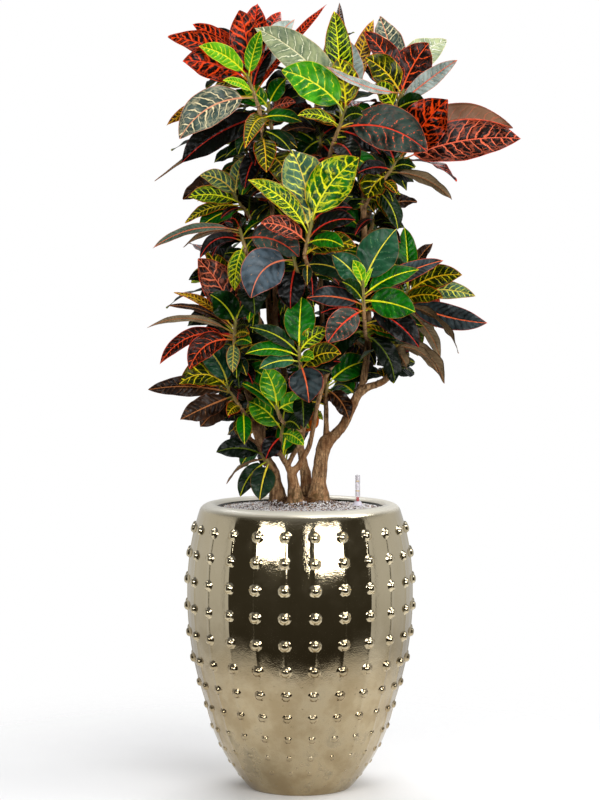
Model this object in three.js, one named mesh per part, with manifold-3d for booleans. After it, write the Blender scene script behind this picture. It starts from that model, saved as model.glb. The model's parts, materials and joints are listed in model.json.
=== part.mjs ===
// A croton grown from several rooted stems in a studded, glazed round planter.
// Millimetres, +Z up, the front of the plant faces -Y. Origin: middle of the planter's foot, on the floor.
import * as THREE from 'three';
import { mergeVertices } from 'three/addons/utils/BufferGeometryUtils.js';
import Module from 'manifold-3d';

const wasm = await Module();
wasm.setup();

// ---------------------------------------------------------------- driving dimensions
const POT_HEIGHT = 542;
const FOOT_RADIUS = 98;
const BELLY_RADIUS = 214.5;
const BELLY_HEIGHT = 373;
const SHOULDER_RADIUS = 192;
const SHOULDER_HEIGHT = 527;
const RIM_RADIUS = 169;             // middle of the rounded rim
const MOUTH_RADIUS = 156.5;
const WALL = 24;
const FLOOR_THICKNESS = 26;
const STUD_COLUMNS = 24;
const FIRST_STUD_HEIGHT = 496;
const STUD_ROWS = 12;
const ROW_PITCH = 0.9;              // arc between stud rows, as a share of the column spacing
const STUD_SIZE = 0.165;            // stud radius, as a share of the column spacing
const STUD_RELIEF = 0.75;           // stud height, as a share of its radius
const STUD_SIDES = 4;
const FULL_STUD_ROWS = 5;           // the rows below these are only low points

const GRAVEL_TOP = 531;
const GRAVEL_DEPTH = 30;
const GRAVEL_ROUGHNESS = 1.6;
const FILLING_SIDES = 12;
const GRAVEL_SIDES = 14;
const INSIDE = [                    // [radius, height] up the inside of the pot, floor first
  [FOOT_RADIUS - WALL, FLOOR_THICKNESS],
  [155, 130],
  [187, 270],
  [188, 440],
  [MOUTH_RADIUS + 3, 500],
  [MOUTH_RADIUS, POT_HEIGHT - 14],
];
const SEAT = 0.35;                  // gap left between pieces that touch
const HOLE_PLAY = 0.55;             // gap round a stem in the hole it grows out of

const ROOT_BALL = { x: 4, y: 34, wide: 68, deep: 50, low: 430, high: 546 };

const GAUGE = { x: 111, y: 42, radius: 4.7, bore: 3.2, low: 100, high: 591.6 };
const GAUGE_FOOT = { radius: 10.5, neck: 6.2, low: 526, flange: 533.5, high: 541 };
const FLOAT = { radius: 2.85, rod: 1.2, body: 34, red: 8, low: 103, redHeight: 541 };

// Where the picture was taken from: a spot seen at (x, z) on the plane through the pot's axis
// lies further out along the line of sight when it is behind that plane.
const EYE_DISTANCE = 4200;
const EYE_HEIGHT = 930;

// ---------------------------------------------------------------- leaves
const BLADE_THICKNESS = 1.4;
const STALK_THICKNESS = 2.2;
const STALK_HALF = 1.5;
const STALK_SHARE = 0.14;           // of the leaf's length
const KEEL = 0.17;                  // how far the blade rises from the midrib to its edge
const WAVE = 0.055;                 // height of the waved margin, as a share of the width
const WAVE_COUNT = 2.3;
const LEAF_STATIONS = [               // [least width, places along the leaf where its section is set]
  [50, [0, 0.14, 0.34, 0.58, 0.83]],
  [26, [0, 0.14, 0.42, 0.78]],
  [0, [0, 0.2, 0.6]],
];
const OUTER_PART = 0.3;             // the share of a blade, from its root, that may meet its own stem's leaves
const CLEARANCE = 0.9;              // added round a leaf while its place is tried
// a leaf that would cross another piece is bent towards or away from the front by the first step that clears
const BENDS = [0, 12, -12, 24, -24, 38, -38, 54, -54, 72, -72, 92, -92, 115, -115];
const GOLDEN_ANGLE = 2.39996;
const RULE_KINDS = ['deep', 'night', 'olive', 'green', 'umber', 'cinder', 'deep', 'teal'];

// Leafy shoots. foot: where the green twig leaves its woody stem; crown: its growing tip.
// foot and crown are [x, z] as seen from the front; deep is how far the shoot stands behind the pot's axis.
// A leaf is [x, z, depth, width, facing, arch, kind]: its tip as seen from the front, the tip's depth
// behind the shoot, how far the upper side turns to the front (negative shows the underside),
// and its rise at mid-length as a share of its length.
// around: leaves placed by rule round the sides and back of the shoot, with their length.
const SHOOTS = {
  shoot_top_left: {
    foot: [-78, 1292], crown: [-100, 1352], deep: -15, around: 2, reach: 120,
    leaves: [
      [-191, 1406, -62, 36, 0.8, 0.1, 'lime'],
      [-74, 1436, -34, 29, 0.85, 0.05, 'fresh'],
      [-115, 1474, 6, 66, 0.9, 0.05, 'flame'],
      [-222, 1378, -40, 64, 0.85, 0.1, 'flame'],
      [-250, 1424, 16, 52, 0.75, 0.12, 'flame'],
      [-203, 1448, 36, 42, 0.8, 0.1, 'flame'],
      [-80, 1487, 60, 50, 0.8, 0.08, 'flame'],
      [-155, 1440, 66, 45, 0.8, 0.1, 'night'],
      [-36, 1470, 84, 44, 0.7, 0.1, 'flame'],
      [-10, 1457, 34, 50, 0.8, 0.1, 'pale'],
      [-52, 1402, 8, 36, 0.7, 0.1, 'night'],
      [-146, 1342, -50, 17, 0.7, 0.1, 'lime'],
      [51, 1486, 30, 20, 0.6, 0.03, 'flame'],
      [-253, 1257, 14, 30, 0.7, 0.1, 'gold'],
      [-228, 1232, -48, 68, 0.9, 0.15, 'silver'],
    ],
  },
  shoot_upper_left: {
    foot: [-52, 1238], crown: [-60, 1298], deep: 25, around: 2, reach: 120,
    leaves: [
      [-26, 1346, -30, 34, 0.8, 0.08, 'green'],
      [-114, 1332, -40, 31, 0.8, 0.1, 'fresh'],
      [-8, 1300, -45, 25, 0.6, 0.1, 'ember'],
      [-225, 1186, -24, 60, 0.75, 0.08, 'night'],
      [-276, 1152, 6, 10, 0.6, 0.04, 'dry'],
      [-117, 1203, -60, 40, 0.8, 0.12, 'deep'],
      [-104, 1214, -90, 32, 0.7, 0.16, 'olive'],
    ],
  },
  shoot_top_centre: {
    foot: [64, 1228], crown: [88, 1290], deep: -55, around: 2, reach: 120,
    leaves: [
      [72, 1384, 8, 57, 0.9, 0.04, 'citron'],
      [-35, 1361, -34, 70, 0.9, 0.1, 'fresh'],
      [95, 1413, 78, 60, 0.9, 0.04, 'pale'],
      [-86, 1441, 15, 70, 0.9, 0.1, 'sage'],
      [50, 1420, 104, 37, 0.8, 0.05, 'deep'],
      [65, 1472, 130, 51, 0.8, 0.06, 'mosaic'],
      [139, 1457, 136, 36, 0.8, 0.03, 'gold'],
      [74, 1488, 144, 24, 0.6, 0.1, 'umber'],
      [-5, 1276, -40, 26, 0.6, 0.12, 'mosaic'],
      [241, 1208, -64, 84, 0.9, 0.13, 'slate'],
      [152, 1203, -25, 47, 0.6, 0.1, 'night'],
    ],
  },
  shoot_top_right: {
    foot: [168, 1262], crown: [195, 1322], deep: 30, around: 2, reach: 120,
    leaves: [
      [46, 1370, -150, 22, 0.6, -0.05, 'pale'],
      [123, 1385, -40, 56, 0.85, 0.1, 'olive'],
      [121, 1434, -22, 50, 0.75, 0.1, 'cinder'],
      [243, 1412, 4, 72, 0.95, 0.06, 'cinder'],
      [150, 1462, 46, 56, 0.85, 0.08, 'silver'],
      [277, 1416, 66, 60, 0.85, 0.14, 'sage'],
      [297, 1381, -30, 34, 0.85, 0.02, 'pale'],
      [140, 1335, -62, 38, 0.8, 0.1, 'mosaic'],
      [238, 1303, -48, 34, 0.8, 0.1, 'deep'],
    ],
  },
  shoot_right: {
    foot: [152, 1148], crown: [190, 1196], deep: -25, around: 1, reach: 115,
    leaves: [
      [279, 1307, -46, 84, 0.95, 0.04, 'flame'],
      [418, 1233, -8, 76, 0.85, 0.07, 'ember'],
      [130, 1258, 34, 38, 0.6, 0.1, 'night'],
      [403, 1252, 50, 64, -0.8, 0.2, 'tan'],
      [110, 1168, -40, 30, 0.7, 0.1, 'night'],
      [288, 1117, -28, 24, -0.6, 0.12, 'dry'],
      [128, 1120, -10, 52, 0.7, 0.12, 'olive'],
    ],
  },
  shoot_centre: {
    foot: [8, 1012], crown: [22, 1075], deep: -125, around: 1, reach: 105,
    leaves: [
      [112, 1197, -8, 78, 0.9, 0.1, 'splash'],
      [-17, 1212, 40, 80, 0.9, 0.1, 'jade'],
      [-40, 1148, 4, 46, 0.85, 0.1, 'jade'],
      [-99, 1155, 4, 37, 0.8, 0.12, 'splash'],
      [105, 1079, -34, 42, 0.6, 0.15, 'night'],
      [-75, 1073, -28, 40, 0.65, 0.12, 'ember'],
    ],
  },
  shoot_centre_left: {
    foot: [0, 962], crown: [-12, 1006], deep: -82, around: 1, reach: 90,
    leaves: [
      [-93, 931, -40, 78, 0.9, 0.22, 'steel'],
      [-18, 911, -26, 50, 0.8, 0.12, 'night'],
    ],
  },
  shoot_left: {
    foot: [-100, 1010], crown: [-114, 1062], deep: -45, around: 2, reach: 110,
    leaves: [
      [-280, 1025, -10, 21, 0.6, 0.12, 'ash'],
      [-222, 1027, 22, 12, 0.6, 0.14, 'dry'],
      [-166, 1010, 44, 22, 0.6, 0.2, 'night'],
      [-2, 1008, -22, 66, 0.8, 0.15, 'slate'],
      [-190, 1007, -32, 25, 0.7, 0.24, 'night'],
      [-124, 946, -28, 31, 0.8, 0.1, 'splash'],
    ],
  },
  shoot_left_high: {
    foot: [-92, 1080], crown: [-124, 1128], deep: 40, around: 2, reach: 115,
    leaves: [
      [-104, 1200, 14, 30, 0.8, 0.08, 'jade'],
      [-190, 1164, -8, 36, 0.75, 0.15, 'jade'],
      [-221, 1117, 24, 49, 0.7, 0.26, 'umber'],
      [-212, 1122, -10, 38, 0.7, 0.1, 'mosaic'],
      [-218, 1073, -6, 25, 0.6, 0.12, 'olive'],
      [-150, 1082, -60, 15, 0.4, 0.1, 'night'],
    ],
  },
  shoot_left_low: {
    foot: [-126, 832], crown: [-122, 890], deep: -40, around: 1, reach: 105,
    leaves: [
      [-97, 930, 10, 38, 0.8, 0.08, 'deep'],
      [-170, 938, -28, 52, 0.8, 0.1, 'deep'],
      [-194, 1006, 8, 66, 0.85, 0.08, 'ember'],
      [-178, 1022, 56, 47, 0.7, 0.1, 'olive'],
      [-240, 942, 34, 18, 0.6, 0.1, 'gold'],
      [-253, 916, 10, 15, 0.6, 0.12, 'umber'],
      [-291, 875, -22, 14, 0.6, 0.14, 'dry'],
      [-190, 836, 56, 47, 0.7, 0.15, 'night'],
      [-267, 805, -10, 30, 0.7, 0.2, 'cinder'],
      [-210, 796, -38, 46, 0.7, 0.2, 'cinder'],
      [-128, 790, -34, 24, 0.6, 0.1, 'jade'],
    ],
  },
  shoot_front_right: {
    foot: [122, 890], crown: [119, 962], deep: -100, around: 0, reach: 90,
    leaves: [
      [100, 1003, -14, 22, 0.8, 0.08, 'lime'],
      [182, 1062, 20, 74, 0.9, 0.06, 'teal'],
      [60, 1014, -12, 48, 0.8, 0.08, 'teal'],
      [138, 988, 0, 11, 0.7, 0.08, 'lime'],
      [-8, 990, 18, 45, 0.7, 0.18, 'dusk'],
      [225, 985, 28, 38, 0.7, 0.08, 'green'],
      [272, 1003, 62, 34, 0.8, 0.05, 'ink'],
      [219, 905, -34, 56, 0.9, 0.06, 'green'],
      [80, 962, -42, 32, 0.6, 0.1, 'deep'],
      [13, 932, -12, 38, 0.75, 0.08, 'ink'],
      [226, 838, -20, 50, 0.8, 0.1, 'night'],
      [52, 845, -50, 52, 0.9, 0.08, 'slate'],
      [40, 903, -12, 30, 0.6, 0.12, 'night'],
    ],
  },
  shoot_right_back: {
    foot: [176, 900], crown: [206, 948], deep: 55, around: 1, reach: 110,
    leaves: [
      [198, 1066, 16, 38, 0.85, 0.06, 'green'],
      [252, 1036, 12, 30, 0.6, 0.1, 'umber'],
      [308, 975, -30, 46, 0.85, 0.12, 'olive'],
      [333, 935, -8, 36, 0.85, 0.1, 'jade'],
      [356, 884, -34, 48, 0.9, -0.05, 'ink'],
      [272, 932, -60, 34, 0.7, 0.1, 'olive'],
      [302, 826, -62, 30, -0.4, 0.16, 'dry'],
      [267, 814, -24, 26, 0.7, 0.12, 'dry'],
    ],
  },
  shoot_right_low: {
    foot: [178, 812], crown: [172, 850], deep: -15, around: 2, reach: 85,
    leaves: [
      [187, 872, 6, 10, 0.6, 0.05, 'lime'],
      [275, 769, -12, 32, -0.6, 0.2, 'dry'],
      [262, 790, -42, 21, -0.5, 0.18, 'dry'],
      [203, 797, -36, 32, -0.6, 0.15, 'dry'],
    ],
  },
  shoot_front_middle: {
    foot: [2, 790], crown: [-2, 836], deep: -115, around: 1, reach: 80,
    leaves: [
      [3, 935, 10, 57, 0.9, 0.06, 'green'],
      [54, 872, -4, 34, 0.8, 0.1, 'mosaic'],
      [-95, 876, -8, 30, 0.7, 0.1, 'deep'],
      [-104, 825, -32, 32, 0.6, 0.12, 'green'],
      [25, 815, -42, 27, 0.5, 0.1, 'fresh'],
      [-77, 797, -30, 32, 0.6, 0.1, 'teal'],
      [17, 733, -42, 62, 0.9, 0.1, 'ink'],
    ],
  },
  shoot_front_low: {
    foot: [-36, 700], crown: [-45, 724], deep: -98, around: 1, reach: 70,
    leaves: [
      [-68, 798, 8, 48, 0.9, 0.08, 'fresh'],
      [13, 735, -12, 38, 0.8, 0.1, 'fresh'],
      [-40, 762, 40, 23, 0.7, 0.1, 'green'],
      [-118, 772, 44, 21, 0.7, 0.1, 'green'],
    ],
  },
  shoot_green_low: {
    foot: [-38, 652], crown: [-33, 686], deep: -70, around: 1, reach: 70,
    leaves: [
      [-22, 737, 12, 40, 0.8, 0.08, 'deep'],
      [-98, 735, 50, 53, 0.9, 0.1, 'fresh'],
      [8, 651, -58, 24, 0.85, 0.1, 'fresh'],
      [-65, 625, -26, 36, 0.8, 0.1, 'night'],
    ],
  },
  shoot_left_lower: {
    foot: [-110, 718], crown: [-138, 764], deep: -25, around: 2, reach: 95,
    leaves: [
      [-193, 850, -8, 50, 0.9, 0.1, 'teal'],
      [-230, 768, -6, 55, 0.6, 0.25, 'olive'],
      [-289, 757, -40, 38, 0.8, 0.06, 'umber'],
      [-228, 700, -44, 44, 0.75, 0.02, 'umber'],
      [-190, 686, -6, 44, -0.8, 0.06, 'umber'],
    ],
  },
  shoot_lowest_left: {
    foot: [-52, 606], crown: [-70, 634], deep: -50, around: 1, reach: 60,
    leaves: [
      [-160, 638, -12, 40, 0.7, 0.12, 'deep'],
      [-150, 652, 24, 15, 0.5, 0.1, 'umber'],
      [-140, 577, 10, 10, 0.4, 0.15, 'dry'],
      [-114, 553, -24, 31, 0.8, 0.12, 'olive'],
      [-77, 547, -30, 46, 0.9, 0.08, 'dusk'],
    ],
  },
  shoot_middle: {
    foot: [49, 742], crown: [52, 768], deep: 12, around: 1, reach: 70,
    leaves: [
      [134, 812, 12, 50, 0.85, 0.1, 'green'],
      [160, 786, 60, 40, 0.6, 0.1, 'deep'],
      [93, 700, -26, 34, 0.7, 0.12, 'umber'],
      [69, 727, -8, 19, 0.7, 0.12, 'umber'],
    ],
  },
  shoot_behind_centre: {
    foot: [38, 1196], crown: [40, 1246], deep: 62, around: 2, reach: 110,
    leaves: [
      [-36, 1240, -30, 32, 0.5, 0.15, 'umber'],
      [100, 1262, 10, 37, 0.6, 0.1, 'night'],
      [0, 1192, -24, 38, 0.6, 0.12, 'deep'],
      [68, 1172, -30, 38, 0.6, 0.12, 'night'],
    ],
  },
  shoot_right_middle: {
    foot: [130, 1052], crown: [148, 1096], deep: 42, around: 1, reach: 100,
    leaves: [
      [222, 1113, 4, 32, 0.6, 0.12, 'umber'],
      [100, 1128, -10, 32, 0.6, 0.1, 'olive'],
      [104, 1050, -40, 15, 0.5, 0.1, 'night'],
      [164, 1080, -30, 28, 0.7, 0.1, 'shade'],
    ],
  },
  shoot_back_left_high: { foot: [-96, 1196], crown: [-120, 1244], deep: 128, around: 6, reach: 135, leaves: [] },
  shoot_back_high: { foot: [30, 1290], crown: [36, 1342], deep: 118, around: 6, reach: 135, leaves: [] },
  shoot_back_right_high: { foot: [176, 1176], crown: [206, 1216], deep: 140, around: 6, reach: 130, leaves: [] },
  shoot_back_middle: { foot: [-14, 1040], crown: [-20, 1088], deep: 140, around: 6, reach: 130, leaves: [] },
  shoot_back_left: { foot: [-128, 930], crown: [-150, 972], deep: 120, around: 5, reach: 120, leaves: [] },
  shoot_back_right: { foot: [86, 884], crown: [92, 932], deep: 130, around: 5, reach: 125, leaves: [] },
  shoot_back_low: { foot: [-34, 770], crown: [-40, 812], deep: 110, around: 5, reach: 105, leaves: [] },
};

// Woody stems, each rooted in the pot, as lines of [x, z, depth, radius] seen from the front.
// A line that carries a shoot ends at that shoot's foot.
const STEMS = {
  stem_right: [
    { line: [[35, 505, 26, 19], [35, 548, 26, 18.5], [36, 580, 27, 14.5], [40, 622, 28, 14], [48, 654, 28, 14],
      [65, 670, 26, 11], [83, 691, 22, 9.8], [98, 722, 18, 9], [109, 746, 14, 8.5], [126, 761, 8, 7.5],
      [150, 769, 0, 6.4], [166, 780, -6, 5.8], [174, 796, -11, 5.4]], shoot: 'shoot_right_low' },
    { line: [[46, 648, 28, 8], [49, 668, 31, 6], [50, 700, 34, 5.2], [49, 745, 38, 5], [46, 800, 36, 5.4],
      [44, 850, 32, 5.2], [40, 924, 30, 5], [39, 1000, 34, 5], [38, 1090, 44, 4.8], [37, 1150, 54, 4.6]],
      shoot: 'shoot_behind_centre' },
    { line: [[41, 912, 30, 3.6], [30, 956, -50, 4.4], [16, 990, -104, 4.2]], shoot: 'shoot_centre' },
    { line: [[31, 953, -46, 3.2], [18, 954, -66, 3.4]], shoot: 'shoot_centre_left' },
    { line: [[38, 1132, 48, 3.6], [56, 1200, -34, 4]], shoot: 'shoot_top_centre' },
    { line: [[38, 1132, 50, 3.6], [29, 1240, 108, 4]], shoot: 'shoot_back_high' },
    { line: [[49, 720, 35, 3], [49, 730, 20, 3.2]], shoot: 'shoot_middle' },
    { line: [[108, 744, 14, 6.6], [121, 780, 26, 6.6], [129, 850, 28, 6.6], [129, 900, 26, 6.4],
      [122, 1040, 20, 6], [120, 1100, 18, 6], [121, 1132, 18, 6.6], [115, 1158, 18, 5]] },
    { line: [[121, 1128, 18, 5], [131, 1160, 18, 4.8]] },
    { line: [[120, 1100, 18, 4.2], [134, 1126, -2, 4.4]], shoot: 'shoot_right' },
    { line: [[121, 1124, 19, 4.2], [122, 1166, 42, 4.2], [146, 1226, 38, 4.2]], shoot: 'shoot_top_right' },
    { line: [[129, 852, 27, 4.6], [124, 864, -60, 4.2]], shoot: 'shoot_front_right' },
    { line: [[129, 862, 28, 4.4], [154, 880, 50, 4]], shoot: 'shoot_right_back' },
    { line: [[125, 990, 23, 4], [127, 1026, 32, 3.8]], shoot: 'shoot_right_middle' },
    { line: [[122, 1068, 20, 4], [135, 1098, 84, 4], [160, 1146, 128, 4]], shoot: 'shoot_back_right_high' },
    { line: [[128, 830, 28, 4.2], [94, 862, 112, 4]], shoot: 'shoot_back_right' },
  ],
  stem_middle: [
    { line: [[-9, 505, 4, 13.5], [-9, 548, 4, 13], [-12, 575, 3, 11], [-15, 598, 2, 9.4], [-4, 610, 0, 6.6],
      [4, 624, -3, 5.6], [18, 652, -8, 5], [26, 690, -12, 5], [32, 725, -14, 4.8], [41, 758, -14, 4.8],
      [50, 786, -13, 5.4], [64, 810, -12, 5.8], [83, 834, -10, 5.8]] },
    { line: [[-17, 594, 2, 6.6], [-24, 612, 0, 5.6], [-34, 628, -16, 5], [-40, 640, -44, 4.6]],
      shoot: 'shoot_green_low' },
    { line: [[-24, 610, 0, 4.4], [-14, 632, -10, 4.6], [-2, 650, -26, 4.5], [6, 676, -48, 4.4], [8, 700, -68, 4.3],
      [5, 726, -86, 4.2], [2, 764, -108, 4.2]], shoot: 'shoot_front_middle' },
    { line: [[6, 678, -50, 3.2], [-12, 680, -74, 3.6], [-26, 690, -92, 3.4]], shoot: 'shoot_front_low' },
  ],
  stem_back: [
    { line: [[14, 505, 55, 13], [14, 548, 55, 12.5], [12, 585, 56, 11.4], [7, 615, 58, 9], [-2, 660, 62, 7],
      [-14, 720, 64, 6], [-32, 800, 62, 6], [-46, 880, 56, 5.6], [-47, 950, 52, 5.4], [-50, 1040, 48, 5.2],
      [-54, 1130, 42, 5], [-54, 1200, 32, 4.8]], shoot: 'shoot_upper_left' },
    { line: [[-33, 806, 62, 5], [-54, 860, 64, 6], [-60, 930, 62, 6], [-66, 1000, 56, 5.2], [-78, 1050, 46, 4.6]],
      shoot: 'shoot_left_high' },
    { line: [[-54, 1124, 42, 3.6], [-66, 1190, 20, 4.2], [-72, 1250, -6, 4.2]], shoot: 'shoot_top_left' },
    { line: [[-53, 1104, 44, 3.6], [-76, 1150, 96, 4], [-88, 1176, 120, 4]], shoot: 'shoot_back_left_high' },
    { line: [[-47, 940, 54, 3.6], [-30, 980, 106, 4], [-18, 1012, 132, 4]], shoot: 'shoot_back_middle' },
    { line: [[-8, 690, 64, 4], [-24, 728, 92, 4], [-32, 750, 106, 4]], shoot: 'shoot_back_low' },
  ],
  stem_left: [
    { line: [[-42, 505, 34, 14.5], [-42, 548, 34, 14], [-50, 600, 32, 10.5], [-61, 622, 30, 9], [-74, 650, 22, 7.8],
      [-88, 684, 8, 6.6], [-102, 706, -12, 5.6]], shoot: 'shoot_left_lower' },
    { line: [[-74, 648, 24, 6], [-80, 680, 24, 6.2], [-94, 734, 18, 6], [-104, 762, 10, 5.6], [-112, 782, 0, 5.4],
      [-121, 808, -22, 5]], shoot: 'shoot_left_low' },
    { line: [[-66, 630, 28, 5], [-70, 668, 34, 5.2], [-71, 720, 30, 5], [-72, 770, 20, 5], [-69, 816, 10, 4.8],
      [-68, 854, 0, 4.7], [-78, 892, -10, 4.6], [-91, 930, -20, 4.5], [-98, 972, -34, 4.4]], shoot: 'shoot_left' },
    { line: [[-66, 640, 26, 4.4], [-84, 655, -2, 4], [-103, 673, -26, 4.2]] },
    { line: [[-52, 600, 28, 4.2], [-50, 602, -4, 4], [-48, 602, -32, 3.8]], shoot: 'shoot_lowest_left' },
    { line: [[-98, 744, 18, 4], [-116, 830, 76, 4.2], [-124, 900, 110, 4]], shoot: 'shoot_back_left' },
  ],
};
const THICK_STEM = 9;               // a line of at least this radius at its foot is made rounder
const THICK_STEM_SIDES = 7;
const STEM_SIDES = 5;
const TWIG_SIDES = 4;
const TWIG_RADIUS = 4.1;
const BUD_RADIUS = 1.6;

// ---------------------------------------------------------------- finishes
const finish = (color, roughness, metalness = 0) => new THREE.MeshStandardMaterial({ color, roughness, metalness });
const GLAZE = finish(0xb9a98a, 0.22, 0.75);
const SOIL = finish(0x2d2019, 0.95);
const COIR = finish(0x5a3a22, 0.95);
const GRAVEL = finish(0xb9adae, 0.85);
const BARK = finish(0x7d5c3a, 0.8);
const CLEAR_PLASTIC = finish(0xd8d4e4, 0.3);
const FLOAT_RED = finish(0xb0241a, 0.4);
const LEAF_COLOURS = { flame: 0xd8582c, ember: 0x5a2a16, lime: 0xa8b62c, fresh: 0x4c9a22, citron: 0x8c9a22,
  green: 0x2f5e22, deep: 0x16321a, mosaic: 0x2c5a1c, splash: 0x4c7a22, teal: 0x3c6056, jade: 0x7c9c80,
  night: 0x23221f, slate: 0x3e4440, steel: 0x5c6672, dusk: 0x36484a, silver: 0x8fa08c, sage: 0x7f9a84,
  olive: 0x3c4410, umber: 0x4a2c1e, cinder: 0x34201a, gold: 0xc79a3e, tan: 0xb08a78, dry: 0x7c705e,
  pale: 0xaab6b2, ash: 0x68766a, ink: 0x3a4048, shade: 0x14180e };

// ---------------------------------------------------------------- small tools
const vec = (x, y, z) => new THREE.Vector3(x, y, z);
const UP = vec(0, 0, 1);
const FRONT = vec(0, -1, 0);

// the place of a spot seen at (x, z) from the front that lies `depth` behind the pot's axis
function seen(x, z, depth) {
  const grow = 1 + depth / EYE_DISTANCE;
  return vec(x * grow, depth, EYE_HEIGHT + (z - EYE_HEIGHT) * grow);
}

// the part of `direction` that is square to the unit vector `axis`
const squareTo = (direction, axis) => direction.clone().addScaledVector(axis, -direction.dot(axis)).normalize();

// a solid from corner points and triangles, turned right side out
function solidFrom(points, triangles) {
  let volume = 0;
  for (const [a, b, c] of triangles) volume += points[a].dot(points[b].clone().cross(points[c]));
  const ordered = volume > 0 ? triangles : triangles.map(([a, b, c]) => [a, c, b]);
  const vertProperties = new Float32Array(points.flatMap((p) => p.toArray()));
  return new wasm.Manifold(new wasm.Mesh({ numProp: 3, vertProperties, triVerts: new Uint32Array(ordered.flat()) }));
}

function solidFromGeometry(geometry) {
  geometry.deleteAttribute('normal');
  geometry.deleteAttribute('uv');
  const merged = mergeVertices(geometry, 1e-4);
  return new wasm.Manifold(new wasm.Mesh({ numProp: 3,
    vertProperties: new Float32Array(merged.attributes.position.array),
    triVerts: new Uint32Array(merged.index.array) }));
}

function meshOf(solid, name, material) {
  const { vertProperties, triVerts } = solid.getMesh();
  const geometry = new THREE.BufferGeometry();
  geometry.setAttribute('position', new THREE.BufferAttribute(vertProperties, 3));
  geometry.setIndex(new THREE.BufferAttribute(triVerts, 1));
  geometry.computeVertexNormals();
  const mesh = new THREE.Mesh(geometry, material);
  mesh.name = name;
  return mesh;
}

const joined = (solids) => solids.reduce((whole, solid) => whole.add(solid));

// a turned solid about the vertical line through (x, y)
function turned(profile, sides, x = 0, y = 0, start = 0) {
  const lathe = new THREE.LatheGeometry(profile.map(([r, z]) => new THREE.Vector2(r, z)), sides, start);
  lathe.rotateX(Math.PI / 2);
  lathe.translate(x, y, 0);
  return solidFromGeometry(lathe);
}

// a bent round bar through points with a radius at each; endAxis turns its last face
function bar(points, radii, sides, endAxis = null) {
  const corners = [];
  const triangles = [];
  let side = null;
  points.forEach((point, i) => {
    const before = points[Math.max(i - 1, 0)];
    const after = points[Math.min(i + 1, points.length - 1)];
    let axis = after.clone().sub(before).normalize();
    if (i === points.length - 1 && endAxis) axis = endAxis;
    side = squareTo(side ?? vec(1, 0, 0), axis);
    const other = axis.clone().cross(side);
    for (let k = 0; k < sides; k += 1) {
      const angle = (2 * Math.PI * k) / sides;
      corners.push(point.clone().addScaledVector(side, radii[i] * Math.cos(angle))
        .addScaledVector(other, radii[i] * Math.sin(angle)));
    }
  });
  for (let i = 0; i < points.length - 1; i += 1) {
    for (let k = 0; k < sides; k += 1) {
      const a = i * sides + k;
      const b = i * sides + ((k + 1) % sides);
      triangles.push([a, b, b + sides], [a, b + sides, a + sides]);
    }
  }
  const last = (points.length - 1) * sides;
  for (let k = 1; k < sides - 1; k += 1) {
    triangles.push([0, k + 1, k], [last, last + k, last + k + 1]);
  }
  return solidFrom(corners, triangles);
}

// ---------------------------------------------------------------- planter
// outer radius of the wall, without studs
function wallRadius(z) {
  if (z >= BELLY_HEIGHT) {
    const rise = (z - BELLY_HEIGHT) / (SHOULDER_HEIGHT - BELLY_HEIGHT);
    return BELLY_RADIUS - (BELLY_RADIUS - SHOULDER_RADIUS) * rise ** 2.2;
  }
  return BELLY_RADIUS - (BELLY_RADIUS - FOOT_RADIUS) * ((BELLY_HEIGHT - z) / BELLY_HEIGHT) ** 2.08;
}

// heights of the stud rows: each is one pitch along the wall below the row above it
function studHeights() {
  const heights = [FIRST_STUD_HEIGHT];
  const step = 0.5;
  while (heights.length < STUD_ROWS) {
    let z = heights.at(-1);
    const pitch = (ROW_PITCH * 2 * Math.PI * wallRadius(z)) / STUD_COLUMNS;
    for (let walked = 0; walked < pitch; z -= step) {
      walked += Math.hypot(step, wallRadius(z - step) - wallRadius(z));
    }
    heights.push(z);
  }
  return heights;
}

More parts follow.
